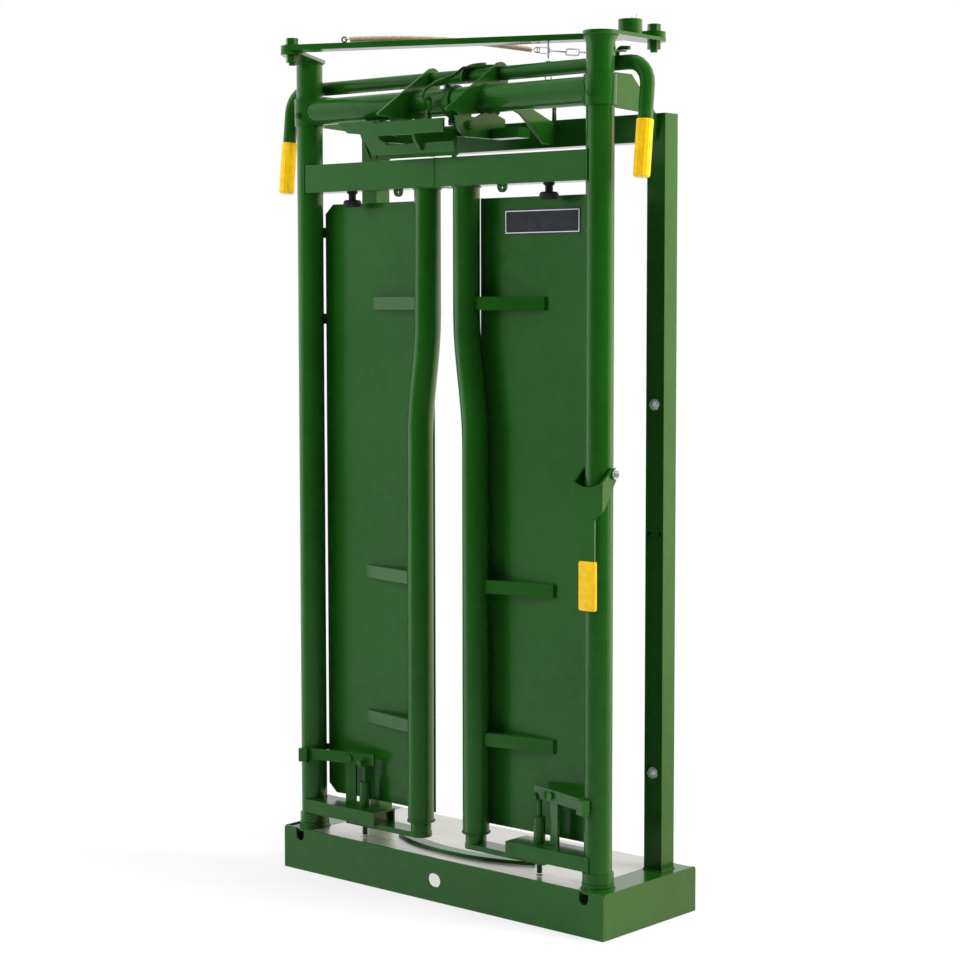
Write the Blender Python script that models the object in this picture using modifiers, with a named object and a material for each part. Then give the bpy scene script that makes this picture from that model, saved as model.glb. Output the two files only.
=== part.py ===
"""Self-locking livestock headlock: a standing steel frame with two swinging doors that close on the neck.

Metres, +Z up. The animal comes from +Y. The sizes below are measured from the middle of the base;
place() then moves each piece so that the origin lies in the middle of the front wall's lower edge.
"""

import math

import bmesh
import bpy
from mathutils import Matrix, Vector

# Clearances
WELD_GAP = 0.0003
RUN_GAP = 0.0005
SLACK = 0.002

# Base pan
BASE_WIDTH = 0.965
BASE_DEPTH = 0.328
BASE_HEIGHT = 0.100
BASE_PLATE = 0.005
RAIL_WIDTH = 0.080
RAIL_DROP = 0.003
FLOOR_PLATE = 0.005
NOTCH_WIDTH = 0.025
NOTCH_DEPTH = 0.030
HAND_HOLE_WIDTH = 0.038
HAND_HOLE_HEIGHT = 0.031
HAND_HOLE_Z = 0.0485
TRACK_REACH = 0.200
TRACK_BOW = 0.050
TRACK_WIDTH = 0.032
TRACK_THICKNESS = 0.008
TRACK_FRONT_Y = -0.095

# Door posts
POST_INSET = 0.0532
POST_X = BASE_WIDTH / 2 - POST_INSET
POST_Y = -0.115
POST_RADIUS = 0.03015
POST_WALL = 0.004
POST_TOP = 1.888
SLEEVE_RADIUS = 0.035
SOCKET_HEIGHT = 0.013
SPIGOT_HEIGHT = 0.050
FOOT_COLLAR_HEIGHT = 0.022
FLARE_HEIGHT = 0.017

# Head frame
CROSS_RADIUS = 0.03015
CROSS_WALL = 0.004
CROSS_Z = POST_TOP - 0.1124
COLLAR_HEIGHT = 0.064
UPRIGHT_OUTER_X = POST_X + 0.0224
UPRIGHT_WIDTH = 0.048
UPRIGHT_DEPTH = 0.0455
UPRIGHT_FRONT_Y = 0.079
UPRIGHT_TOP = POST_TOP - 0.148
TUBE_WALL = 0.003
CAP_THICKNESS = 0.0035
REAR_BEAM_HEIGHT = 0.060
GUSSET_THICKNESS = 0.006
GUSSET_HEIGHT = 0.072
BOLT_HEIGHTS = (0.314, 1.118)
FREE_HOLE_Z = 0.838
FREE_HOLE_RADIUS = 0.0048
FREE_HOLE_SPACING = 0.029

# Doors
ARM_HEIGHT = 0.0634
ARM_DEPTH = 0.059
ARM_TOP = POST_TOP - 0.2345
ARM_WALL = 0.004
SEAM_X = -0.011
SEAM_GAP = 0.004
EYE_X = 0.1545
EYE_Y = -0.107
EYE_RADIUS = 0.0125
EYE_HOLE_RADIUS = 0.0040
BAR_RADIUS = 0.03015
BAR_WALL = 0.004
BAR_TOP_X = 0.0578
BAR_LOW_X = 0.0835
BEND_TOP_Z = 1.310
BEND_LOW_Z = 1.030
BAR_BOTTOM = 0.162
SHEET_THICKNESS = 0.003
SHEET_TOP = ARM_TOP - 0.0885
SHEET_BOTTOM = 0.178
SHEET_FLAT_Y = -0.0785
SHEET_FLAT_INNER_X = 0.115
SHEET_FLAT_OUTER_X = POST_X - 0.0773
SHEET_INNER_EDGE = (0.070, -0.082)
SHEET_OUTER_EDGE = (POST_X - 0.0193, -0.085)
SHEET_CHAMFER = 0.022
SHEET_TAB_HEIGHTS = (SHEET_BOTTOM + 0.102, SHEET_TOP - 0.265, SHEET_TOP - 0.065)
SHEET_TAB_HEIGHT = 0.024
STRAP_HEIGHT = 0.029
STRAP_THICKNESS = 0.006
STRAP_HEIGHTS = (0.376, 0.716, 1.336)
STRAP_REACHES = (0.281, 0.281, 0.255)
BUMPER_X = POST_X - 0.1373
BUMPER_RADIUS = 0.0205
BUMPER_DROP = 0.035
BUMPER_STEM_RADIUS = 0.0085

# Foot of each door
CHANNEL_TOP = 0.168
CHANNEL_HEIGHT = 0.032
CHANNEL_WALL = 0.0048
CHANNEL_REACH = 0.230
FOOT_BAR_THICKNESS = 0.012
FOOT_BAR_BOTTOM = 0.128
FOOT_BAR_OUTER_X = POST_X - 0.1293
STUB_RADIUS = 0.0235

# Foot latches
PLAN_ANGLE = math.radians(14.8)
ROCKER_INNER = Vector((POST_X - 0.1863, -0.102, 0.0))
ROCKER_OUTER_X = POST_X + 0.0037
ROCKER_PIVOT_X = POST_X - 0.1223
ROCKER_HEIGHT = 0.0265
ROCKER_THICKNESS = 0.006
ROCKER_Z = 0.2785
ROCKER_TAIL_DROP = 0.010
STAND_WIDTH = 0.027
STAND_THICKNESS = 0.006
LATCH_PIN_X = POST_X - 0.1643
LATCH_PIN_Y = -0.112
LATCH_PIN_RADIUS = 0.006
LATCH_PIN_BOTTOM = 0.1015
LATCH_PIN_TOP = 0.2625
PIN_TUBE_RADIUS = 0.013
PIN_TUBE_TOP = 0.226
PIVOT_BOLT_RADIUS = 0.005

# Link bar over the top
LINK_ARM_LENGTH = 0.1825
LEFT_ARM_ANGLE = math.radians(33.7)
LINK_ARM_THICKNESS = 0.008
LINK_ARM_ROOT = 0.037
LINK_ARM_TIP = 0.026
LINK_THICKNESS = 0.0127
LINK_WIDTH = 0.0508
LINK_BOLT_RADIUS = 0.008
HEX_FLAT = 0.0125
HEX_HEIGHT = 0.016
ARM_SLEEVE_Y = -0.015
ARM_SLEEVE_RADIUS = 0.0255
ARM_SLEEVE_HEIGHT = 0.032

# Return spring and chain
SPRING_START = 0.130
SPRING_LENGTH = 0.410
SPRING_RADIUS = 0.0050
SPRING_WIRE = 0.0014
SPRING_CURLS = 70
POINTS_PER_CURL = 8
SPRING_RISE = 0.0120
SPRING_FALL = 0.0060
SPRING_START_ASIDE = 0.0215
SPRING_END_ASIDE = 0.060
EYEBOLT_RADIUS = 0.003
EYE_RING_RADIUS = 0.0055
EYE_WIRE = 0.002
EYE_OFFSET = 0.0135

# Release shaft
SHAFT_RADIUS = 0.0159
SHAFT_STANDOFF = 0.0052
SHAFT_Z = POST_TOP - 0.054
HANDLE_LEFT_X = POST_X + 0.1087
HANDLE_RIGHT_X = POST_X + 0.0867
HANDLE_BEND = 0.050
HANDLE_DROP = 0.238
HANDLE_LEAN = 0.024
GRIP_LENGTH = 0.118
GRIP_WALL = 0.0022
HOOK_X = POST_X - 0.0143

# Lock under the cross tube
BRACKET_LEFT_X = -0.089
BRACKET_RIGHT_X = 0.1125
BRACKET_THICKNESS = 0.006
LOBE_RADIUS = 0.025
BRACKET_FRONT_Y = -0.243
BRACKET_LOW_Z = CROSS_Z - 0.0316
PIVOT_Y = -0.181
PIVOT_Z = CROSS_Z - 0.0606
EAR_RADIUS = 0.014
PIVOT_RADIUS = 0.006
CHEEK_X = 0.1213
CHEEK_THICKNESS = 0.006
CHEEK_FRONT_Y = -0.222
CHEEK_BACK_Y = -0.062
CHEEK_LOW_Z = CROSS_Z - 0.0856
CHEEK_TOP_Z = CROSS_Z - 0.0416
FRONT_STRAP_HEIGHT = 0.030
FRONT_STRAP_THICKNESS = 0.005
FRONT_STRAP_END_X = 0.088
WING_LENGTH = 0.1244
WING_TIP_DEPTH = 0.0193
WING_ROOT_LENGTH = 0.048
WING_THICKNESS = 0.004
WING_FRONT_Y = -0.200
WING_BACK_Y = -0.110
WING_DROP = 0.070
SIDE_BOX_DEPTH = 0.038
SIDE_BOX_HEIGHT = 0.022
SIDE_BOX_BACK_Y = -0.070
SIDE_BOX_REACH = 0.079
DOG_X = -0.010
DOG_THICKNESS = 0.009
DOG_DROP = 0.0135
DOG_CURVE = ((-0.214, -0.0726), (-0.208, -0.0876), (-0.197, -0.1016), (-0.182, -0.1106))
DOG_NOSE_Y = -0.166
DOG_HEEL_Y = -0.155
DOG_SHOULDER_Y = -0.190
DOG_NECK_Y = -0.136
DOG_WEB_DROP = 0.0536
DOG_TAB_HALF_WIDTH = 0.0055
DOG_HEEL_LENGTH = 0.010
COVER_Y = -0.185
COVER_TOP = CROSS_Z - 0.0916
COVER_LOW = CROSS_Z - 0.1186
KEEPER_Z = CROSS_Z - 0.0081
KEEPER_STANDOFF = 0.0194
KEEPER_HALF_HEIGHT = 0.0185
KEEPER_HALF_WIDTH = 0.0085
KEEPER_WIRE = 0.0026
KEEPER_HOLE_Z = KEEPER_Z - 0.0179
CRANK_WIRE = 0.0035
CLAMP_X = 0.023
CLAMP_WIDTH = 0.022
CLAMP_BAND = 0.005

# Lever on the right post
LEVER_Z = 0.981
LEVER_FRONT_Y = -0.1555
LEVER_THICKNESS = 0.006
LEVER_HALF_WIDTH = 0.040
LEVER_BAR_WIDTH = 0.038
LEVER_SHOULDER_Z = 0.885
LEVER_BOTTOM_Z = 0.700
LEVER_GRIP_TOP = 0.800
LEVER_GRIP_WIDTH = 0.045
LEVER_GRIP_DEPTH = 0.0114

# Sizes worked out from the ones above
FRONT_WALL_OFFSET = (BASE_DEPTH - BASE_PLATE) / 2
FLOOR_TOP = BASE_HEIGHT - RAIL_DROP
RAIL_INNER_X = BASE_WIDTH / 2 - RAIL_WIDTH
SOCKET_TOP = FLOOR_TOP + WELD_GAP + SOCKET_HEIGHT
POST_BOTTOM = SOCKET_TOP + RUN_GAP
POST_BORE = POST_RADIUS - POST_WALL
POST_FRONT_Y = POST_Y - POST_RADIUS
POST_BACK_Y = POST_Y + POST_RADIUS
ARM_BOTTOM = ARM_TOP - ARM_HEIGHT
SHAFT_Y = POST_BACK_Y + SHAFT_RADIUS + SHAFT_STANDOFF
COLLAR_BORE = POST_RADIUS + RUN_GAP
CHANNEL_FRONT_Y = POST_FRONT_Y - CHANNEL_WALL
CHANNEL_BACK_Y = POST_BACK_Y + CHANNEL_WALL
KEEPER_Y = POST_Y - CROSS_RADIUS - KEEPER_STANDOFF
LINK_ARM_TOP = POST_TOP + WELD_GAP + LINK_ARM_THICKNESS
LINK_BOTTOM = LINK_ARM_TOP + RUN_GAP
LINK_TOP = LINK_BOTTOM + LINK_THICKNESS
LEFT_PIVOT = Vector((
    -POST_X + LINK_ARM_LENGTH * math.sin(LEFT_ARM_ANGLE),
    POST_Y - LINK_ARM_LENGTH * math.cos(LEFT_ARM_ANGLE),
    0.0,
))
RIGHT_PIVOT = Vector((POST_X, POST_Y + LINK_ARM_LENGTH, 0.0))
LINK_DIRECTION = (RIGHT_PIVOT - LEFT_PIVOT).normalized()
LINK_SIDE = Vector((-LINK_DIRECTION.y, LINK_DIRECTION.x, 0.0))
GREEN = ("dark_green_paint", (0.030, 0.105, 0.032), 0.30, 0.0)
ZINC = ("zinc_plate", (0.62, 0.64, 0.66), 0.35, 1.0)
GALVANISED = ("bare_floor_plate", (0.60, 0.60, 0.56), 0.35, 0.7)
YELLOW = ("yellow_vinyl", (0.95, 0.60, 0.01), 0.45, 0.0)
RUBBER = ("black_rubber", (0.02, 0.02, 0.022), 0.65, 0.0)
SPRING_STEEL = ("spring_steel", (0.62, 0.48, 0.33), 0.40, 0.8)


def clear_scene():
    for item in list(bpy.data.objects):
        bpy.data.objects.remove(item, do_unlink=True)


def collection(name):
    made = bpy.data.collections.new(name)
    bpy.context.scene.collection.children.link(made)
    return made


clear_scene()
PARTS = collection("headlock")
CUTTERS = collection("cutters")
CUTTERS.hide_render = True


def material(spec):
    """One Principled material per finish, made the first time it is asked for."""
    name, colour, roughness, metallic = spec
    found = bpy.data.materials.get(name)
    if found:
        return found
    made = bpy.data.materials.new(name)
    made.use_nodes = True
    shader = made.node_tree.nodes["Principled BSDF"]
    shader.inputs["Base Color"].default_value = (*colour, 1.0)
    shader.inputs["Roughness"].default_value = roughness
    shader.inputs["Metallic"].default_value = metallic
    return made


def mesh_object(name, build):
    """An unlinked mesh object; build(bm) fills the bmesh."""
    bm = bmesh.new()
    build(bm)
    bmesh.ops.recalc_face_normals(bm, faces=bm.faces)
    mesh = bpy.data.meshes.new(name)
    bm.to_mesh(mesh)
    bm.free()
    return bpy.data.objects.new(name, mesh)


def block(low, high, name="block"):
    low, high = Vector(low), Vector(high)

    def build(bm):
        bmesh.ops.create_cube(bm, size=1.0)
        bmesh.ops.scale(bm, vec=high - low, verts=bm.verts)
        bmesh.ops.translate(bm, vec=(low + high) / 2, verts=bm.verts)

    return mesh_object(name, build)


def rod(start, end, radius, end_radius=None, sides=24, name="rod"):
    """A solid round bar, or a cone if the end radius differs."""
    start, end = Vector(start), Vector(end)
    axis = end - start

    def build(bm):
        turn = axis.to_track_quat("Z", "Y").to_matrix().to_4x4()
        bmesh.ops.create_cone(
            bm,
            cap_ends=True,
            segments=sides,
            radius1=radius,
            radius2=radius if end_radius is None else end_radius,
            depth=axis.length,
            matrix=Matrix.Translation((start + end) / 2) @ turn,
        )

    return mesh_object(name, build)


def hexagon(start, end, flat_radius, name="hex"):
    return rod(start, end, flat_radius / math.cos(math.pi / 6), sides=6, name=name)


def as_mesh(item, name):
    """The evaluated shape of a curve or modified object as a plain mesh object in world space."""
    bpy.context.scene.collection.objects.link(item)
    bpy.context.view_layer.update()
    evaluated = item.evaluated_get(bpy.context.evaluated_depsgraph_get())
    mesh = bpy.data.meshes.new_from_object(evaluated)
    mesh.transform(item.matrix_world)
    bpy.data.objects.remove(item, do_unlink=True)
    bm = bmesh.new()
    bm.from_mesh(mesh)
    bmesh.ops.remove_doubles(bm, verts=bm.verts, dist=1e-6)
    bmesh.ops.recalc_face_normals(bm, faces=bm.faces)
    bm.to_mesh(mesh)
    bm.free()
    return bpy.data.objects.new(name, mesh)


def plate(outline, thickness, plane, at, holes=(), name="plate"):
    """A flat plate cut to an outline; plane is XY, XZ or YZ and the plate is centred at that height."""
    curve = bpy.data.curves.new(name, "CURVE")
    curve.dimensions = "2D"
    curve.fill_mode = "BOTH"
    curve.extrude = thickness / 2
    for loop in (outline, *holes):
        spline = curve.splines.new("POLY")
        spline.points.add(len(loop) - 1)
        for point, (u, v) in zip(spline.points, loop):
            point.co = (u, v, 0.0, 1.0)
        spline.use_cyclic_u = True
    item = bpy.data.objects.new(name, curve)
    turns = {
        "XY": Matrix.Translation((0, 0, at)),
        "XZ": Matrix.Translation((0, at, 0)) @ Matrix.Rotation(math.pi / 2, 4, "X"),
        "YZ": Matrix.Translation((at, 0, 0))
        @ Matrix.Rotation(math.pi / 2, 4, "Z")
        @ Matrix.Rotation(math.pi / 2, 4, "X"),
    }
    item.matrix_world = turns[plane]
    return as_mesh(item, name)


def arc(centre, radius, start, end, steps):
    """Points on an arc, angles in degrees."""
    return [
        (
            centre[0] + radius * math.cos(math.radians(start + (end - start) * i / steps)),
            centre[1] + radius * math.sin(math.radians(start + (end - start) * i / steps)),
        )
        for i in range(steps + 1)
    ]


def circle(centre, radius, sides=16):
    return arc(centre, radius, 0, 360, sides)[:-1]


def slot_outline(centre, width, height, steps=8):
    """A slot lying along the first axis with round ends."""
    reach = (width - height) / 2
    right = arc((centre[0] + reach, centre[1]), height / 2, -90, 90, steps)
    left = arc((centre[0] - reach, centre[1]), height / 2, 90, 270, steps)
    return right + left


def bent_rod(points, radius, resolution=3, cyclic=False, name="bent_rod"):
    """A round bar that follows points."""
    curve = bpy.data.curves.new(name, "CURVE")
    curve.dimensions = "3D"
    curve.bevel_depth = radius
    curve.bevel_resolution = resolution
    curve.use_fill_caps = True
    spline = curve.splines.new("POLY")
    spline.points.add(len(points) - 1)
    for point, place in zip(spline.points, points):
        point.co = (*place, 1.0)
    spline.use_cyclic_u = cyclic
    return as_mesh(bpy.data.objects.new(name, curve), name)


def turned(profile, centre, steps=24, name="turned"):
    """A solid of revolution about the vertical line through centre; profile holds (radius, z) points."""
    def build(bm):
        points = [bm.verts.new((radius, 0.0, z)) for radius, z in profile]
        for first, second in zip(points, points[1:] + points[:1]):
            bm.edges.new((first, second))

    item = mesh_object(name, build)
    screw = item.modifiers.new("turn", "SCREW")
    screw.steps = steps
    screw.render_steps = steps
    screw.use_merge_vertices = True
    screw.merge_threshold = 0.00001
    item.location = (centre[0], centre[1], 0.0)
    return as_mesh(item, name)


def combine(target, other, operation):
    """Boolean join or cut, applied at once so that the result can be cut again."""
    bpy.context.scene.collection.objects.link(target)
    CUTTERS.objects.link(other)
    modifier = target.modifiers.new(operation.lower(), "BOOLEAN")
    modifier.operation = operation
    modifier.solver = "EXACT"
    modifier.object = other
    name = target.name
    made = as_plain(target, name)
    bpy.data.objects.remove(other, do_unlink=True)
    return made


def as_plain(item, name):
    bpy.context.view_layer.update()
    evaluated = item.evaluated_get(bpy.context.evaluated_depsgraph_get())
    mesh = bpy.data.meshes.new_from_object(evaluated)
    mesh.transform(item.matrix_world)
    bpy.data.objects.remove(item, do_unlink=True)
    return bpy.data.objects.new(name, mesh)


def cut(target, *others):
    for other in others:
        target = combine(target, other, "DIFFERENCE")
    return target


def join(target, *others):
    for other in others:
        target = combine(target, other, "UNION")
    return target


def mirrored(item):
    """The same piece on the other side of X = 0."""
    mesh = item.data.copy()
    mesh.transform(Matrix.Scale(-1, 4, (1, 0, 0)))
    mesh.flip_normals()
    return bpy.data.objects.new("mirrored", mesh)


def place(item, name, finish, pivot=None):
    """Names the piece, gives it its finish and puts its origin on its pivot."""
    item.name = name
    item.data.name = name
    item.data.materials.clear()
    item.data.materials.append(material(finish))
    shift = Vector((0.0, FRONT_WALL_OFFSET, 0.0))
    at = Vector(pivot) + shift if pivot is not None else Vector((0.0, 0.0, 0.0))
    item.data.transform(Matrix.Translation(shift - at))
    item.location = at
    PARTS.objects.link(item)
    return item


def sided(item, name, finish, pivot=None):
    """Places a piece built on the right, and its mirror image on the left."""
    other = mirrored(item)
    place(item, name + "_right", finish, pivot)
    place(other, name + "_left", finish, pivot and (-pivot[0], pivot[1], pivot[2]))


def post_pivot(side):
    return (side * POST_X, POST_Y, POST_BOTTOM)


def base():
    half_width, half_depth = BASE_WIDTH / 2, BASE_DEPTH / 2
    corner = 0.008
    notch_low = BASE_HEIGHT - NOTCH_DEPTH + NOTCH_WIDTH / 2
    outline = [(-half_width, 0), (half_width, 0)]
    outline += arc((half_width - corner, BASE_HEIGHT - corner), corner, 0, 90, 4)
    for x in (POST_X, -POST_X):
        outline += [(x + NOTCH_WIDTH / 2, BASE_HEIGHT)]
        outline += arc((x, notch_low), NOTCH_WIDTH / 2, 0, -180, 8)
        outline += [(x - NOTCH_WIDTH / 2, BASE_HEIGHT)]
    outline += arc((-half_width + corner, BASE_HEIGHT - corner), corner, 90, 180, 4)
    hand_hole = slot_outline((0, HAND_HOLE_Z), HAND_HOLE_WIDTH, HAND_HOLE_HEIGHT)
    front = plate(outline, BASE_PLATE, "XZ", -half_depth + BASE_PLATE / 2, [hand_hole])
    place(front, "base_front_plate", GREEN)

    rear_top = FLOOR_TOP - FLOOR_PLATE - WELD_GAP
    rear_y = half_depth - BASE_PLATE
    rear_x = RAIL_INNER_X - WELD_GAP
    rear = block((-rear_x, rear_y, 0), (rear_x, half_depth, rear_top))
    place(rear, "base_rear_plate", GREEN)

    outer, inner = half_width, RAIL_INNER_X
    wall = BASE_PLATE
    section = [
        (outer, 0),
        (outer, BASE_HEIGHT),
        (outer - wall, BASE_HEIGHT),
        (outer - wall, FLOOR_TOP),
        (inner, FLOOR_TOP),
        (inner, 0),
        (inner + wall, 0),
        (inner + wall, FLOOR_TOP - wall),
        (outer - wall, FLOOR_TOP - wall),
        (outer - wall, 0),
    ]
    front_end = -half_depth + BASE_PLATE + WELD_GAP
    rail = plate(section, half_depth - front_end, "XZ", (front_end + half_depth) / 2)
    corner_cut = block((inner - 0.01, half_depth - corner, BASE_HEIGHT - 0.05),
                       (outer + 0.01, half_depth + corner, BASE_HEIGHT + 0.01))
    corner_keep = rod((inner - 0.02, half_depth - corner, BASE_HEIGHT - corner),
                      (outer + 0.02, half_depth - corner, BASE_HEIGHT - corner), corner)
    low_keep = block((inner - 0.02, half_depth - 2 * corner, -0.01),
                     (outer + 0.02, half_depth + 2 * corner, BASE_HEIGHT - corner))
    corner_cut = cut(corner_cut, corner_keep, low_keep)
    sided(cut(rail, corner_cut), "base_side", GREEN)

    floor_x = RAIL_INNER_X - WELD_GAP
    outline = [(-floor_x, front_end), (floor_x, front_end), (floor_x, half_depth), (-floor_x, half_depth)]
    pin_holes = [circle((side * LATCH_PIN_X, LATCH_PIN_Y), LATCH_PIN_RADIUS + SLACK) for side in (1, -1)]
    floor = plate(outline, FLOOR_PLATE, "XY", FLOOR_TOP - FLOOR_PLATE / 2, pin_holes)
    place(floor, "floor_plate", GALVANISED)

    radius = (TRACK_REACH**2 + TRACK_BOW**2) / (2 * TRACK_BOW)
    spread = math.degrees(math.asin(TRACK_REACH / radius))
    centre = (0, TRACK_FRONT_Y + radius)
    near = arc(centre, radius + TRACK_WIDTH / 2, -90 - spread, -90 + spread, 16)
    far = arc(centre, radius - TRACK_WIDTH / 2, -90 + spread, -90 - spread, 16)
    track_low = FLOOR_TOP + WELD_GAP
    track = plate(near + far, TRACK_THICKNESS, "XY", track_low + TRACK_THICKNESS / 2)
    place(track, "floor_track", GREEN)


def sockets():
    low = FLOOR_TOP + WELD_GAP
    spigot = POST_BORE - RUN_GAP
    profile = [
        (0, low),
        (SLEEVE_RADIUS, low),
        (SLEEVE_RADIUS, SOCKET_TOP),
        (spigot, SOCKET_TOP),
        (spigot, SOCKET_TOP + SPIGOT_HEIGHT - 0.004),
        (spigot - 0.004, SOCKET_TOP + SPIGOT_HEIGHT),
        (0, SOCKET_TOP + SPIGOT_HEIGHT),
    ]
    sided(turned(profile, (POST_X, POST_Y)), "post_socket", GREEN)


def post(side, name, flared):
    collar_top = POST_BOTTOM + FOOT_COLLAR_HEIGHT
    profile = [
        (POST_BORE, POST_BOTTOM),
        (SLEEVE_RADIUS - 0.001, POST_BOTTOM),
        (SLEEVE_RADIUS - 0.001, collar_top),
        (POST_RADIUS, collar_top),
    ]
    if flared:
        profile += [
            (POST_RADIUS, POST_TOP - FLARE_HEIGHT),
            (SLEEVE_RADIUS, POST_TOP - FLARE_HEIGHT / 3),
            (SLEEVE_RADIUS, POST_TOP),
        ]
    else:
        profile += [(POST_RADIUS, POST_TOP)]
    profile += [(POST_BORE, POST_TOP)]
    tube = turned(profile, (side * POST_X, POST_Y))
    if flared:
        tube = cut(tube, rod((POST_X - 0.05, POST_Y, LEVER_Z), (POST_X + 0.05, POST_Y, LEVER_Z),
                             PIVOT_BOLT_RADIUS + WELD_GAP, sides=16))
    place(tube, name, GREEN, post_pivot(side))


def pipe(start, end, radius, wall, sides=24):
    """A straight tube, open at both ends."""
    start, end = Vector(start), Vector(end)
    past = (end - start).normalized() * 0.01
    return cut(rod(start, end, radius, sides=sides), rod(start - past, end + past, radius - wall, sides=sides))


def head_frame():
    collar_low = CROSS_Z - COLLAR_HEIGHT / 2
    collar_top = CROSS_Z + COLLAR_HEIGHT / 2
    profile = [
        (COLLAR_BORE, collar_low),
        (SLEEVE_RADIUS, collar_low),
        (SLEEVE_RADIUS, collar_top),
        (COLLAR_BORE, collar_top),
    ]
    sided(turned(profile, (POST_X, POST_Y)), "post_collar", GREEN)

    tube = pipe((-POST_X, POST_Y, CROSS_Z), (POST_X, POST_Y, CROSS_Z), CROSS_RADIUS, CROSS_WALL)
    for side in (1, -1):
        low = (side * POST_X, POST_Y, collar_low - 0.01)
        high = (side * POST_X, POST_Y, collar_top + 0.01)
        tube = cut(tube, rod(low, high, SLEEVE_RADIUS + WELD_GAP))
    place(tube, "cross_tube", GREEN)

    front, back = UPRIGHT_FRONT_Y, UPRIGHT_FRONT_Y + UPRIGHT_DEPTH
    inner_x = UPRIGHT_OUTER_X - UPRIGHT_WIDTH
    foot = FLOOR_TOP + WELD_GAP
    wall = TUBE_WALL
    middle_x = UPRIGHT_OUTER_X - UPRIGHT_WIDTH / 2
    upright = block((inner_x, front, foot), (UPRIGHT_OUTER_X, back, UPRIGHT_TOP))
    bore = block((inner_x + wall, front + wall, foot - 0.01),
                 (UPRIGHT_OUTER_X - wall, back - wall, UPRIGHT_TOP - CAP_THICKNESS))
    upright = cut(upright, bore)
    for height in BOLT_HEIGHTS:
        upright = cut(upright, rod((middle_x, front - 0.01, height), (middle_x, back + 0.01, height),
                                   PIVOT_BOLT_RADIUS + WELD_GAP, sides=16))
    for shift in (-1, 1):
        x = middle_x + shift * FREE_HOLE_SPACING / 2
        upright = cut(upright, rod((x, front - 0.01, FREE_HOLE_Z), (x, front + 0.01, FREE_HOLE_Z),
                                   FREE_HOLE_RADIUS, sides=12))
    sided(upright, "rear_upright", GREEN)

    beam_x = inner_x - WELD_GAP
    beam_low = UPRIGHT_TOP - REAR_BEAM_HEIGHT
    beam = block((-beam_x, front, beam_low), (beam_x, back, UPRIGHT_TOP))
    bore = block((-beam_x - 0.01, front + wall, beam_low + wall),
                 (beam_x + 0.01, back - wall, UPRIGHT_TOP - wall))
    place(cut(beam, bore), "rear_beam", GREEN)

    reach = max(abs(middle_x - POST_X) - GUSSET_THICKNESS / 2, 0.0)
    plate_front = POST_Y + math.sqrt(SLEEVE_RADIUS**2 - reach**2) + WELD_GAP
    plate_top = collar_low + GUSSET_HEIGHT
    plate_back = front - WELD_GAP
    outline = [
        (plate_front, collar_low),
        (plate_front, plate_top - 0.006),
        (plate_front + 0.006, plate_top),
        (-0.010, plate_top),
        (plate_back, UPRIGHT_TOP - 0.004),
        (plate_back, beam_low),
        (plate_back - 0.028, collar_low - 0.006),
    ]
    sided(plate(outline, GUSSET_THICKNESS, "YZ", middle_x), "side_gusset", GREEN)

    brace_x = 0.146
    tube_back = POST_Y + CROSS_RADIUS + WELD_GAP
    outline = [
        (front - WELD_GAP, UPRIGHT_TOP - 0.008),
        (tube_back + 0.030, CROSS_Z + 0.004),
        (tube_back, CROSS_Z + 0.004),
        (tube_back, CROSS_Z - 0.016),
        (tube_back + 0.045, CROSS_Z - 0.030),
        (front - 0.040, beam_low + 0.006),
        (front - WELD_GAP, beam_low + 0.006),
    ]
    place(plate(outline, GUSSET_THICKNESS, "YZ", brace_x), "center_brace", GREEN)


def bracket(centre_x):
    """One triangular plate on the cross tube that carries the release shaft."""
    shaft = Vector((SHAFT_Y, SHAFT_Z))
    nose = Vector((BRACKET_FRONT_Y, BRACKET_LOW_Z + 0.004))
    away = shaft - nose
    tangent = math.degrees(math.atan2(away.y, away.x) + math.asin(LOBE_RADIUS / away.length)) + 90
    outline = [(BRACKET_FRONT_Y + 0.004, BRACKET_LOW_Z), tuple(nose)]
    outline += arc(tuple(shaft), LOBE_RADIUS, tangent, -10, 12)
    outline += [(POST_BACK_Y + 0.030, BRACKET_LOW_Z + 0.030), (POST_BACK_Y + 0.012, BRACKET_LOW_Z)]
    outline += [(PIVOT_Y + 0.020, BRACKET_LOW_Z)]
    outline += arc((PIVOT_Y, PIVOT_Z), EAR_RADIUS, 15, -195, 10)
    outline += [(PIVOT_Y - 0.022, BRACKET_LOW_Z)]
    holes = [
        circle((POST_Y, CROSS_Z), CROSS_RADIUS + WELD_GAP, 24),
        circle(tuple(shaft), SHAFT_RADIUS + RUN_GAP, 24),
        circle((PIVOT_Y, PIVOT_Z), PIVOT_RADIUS + WELD_GAP),
    ]
    return plate(outline, BRACKET_THICKNESS, "YZ", centre_x, holes)


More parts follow.
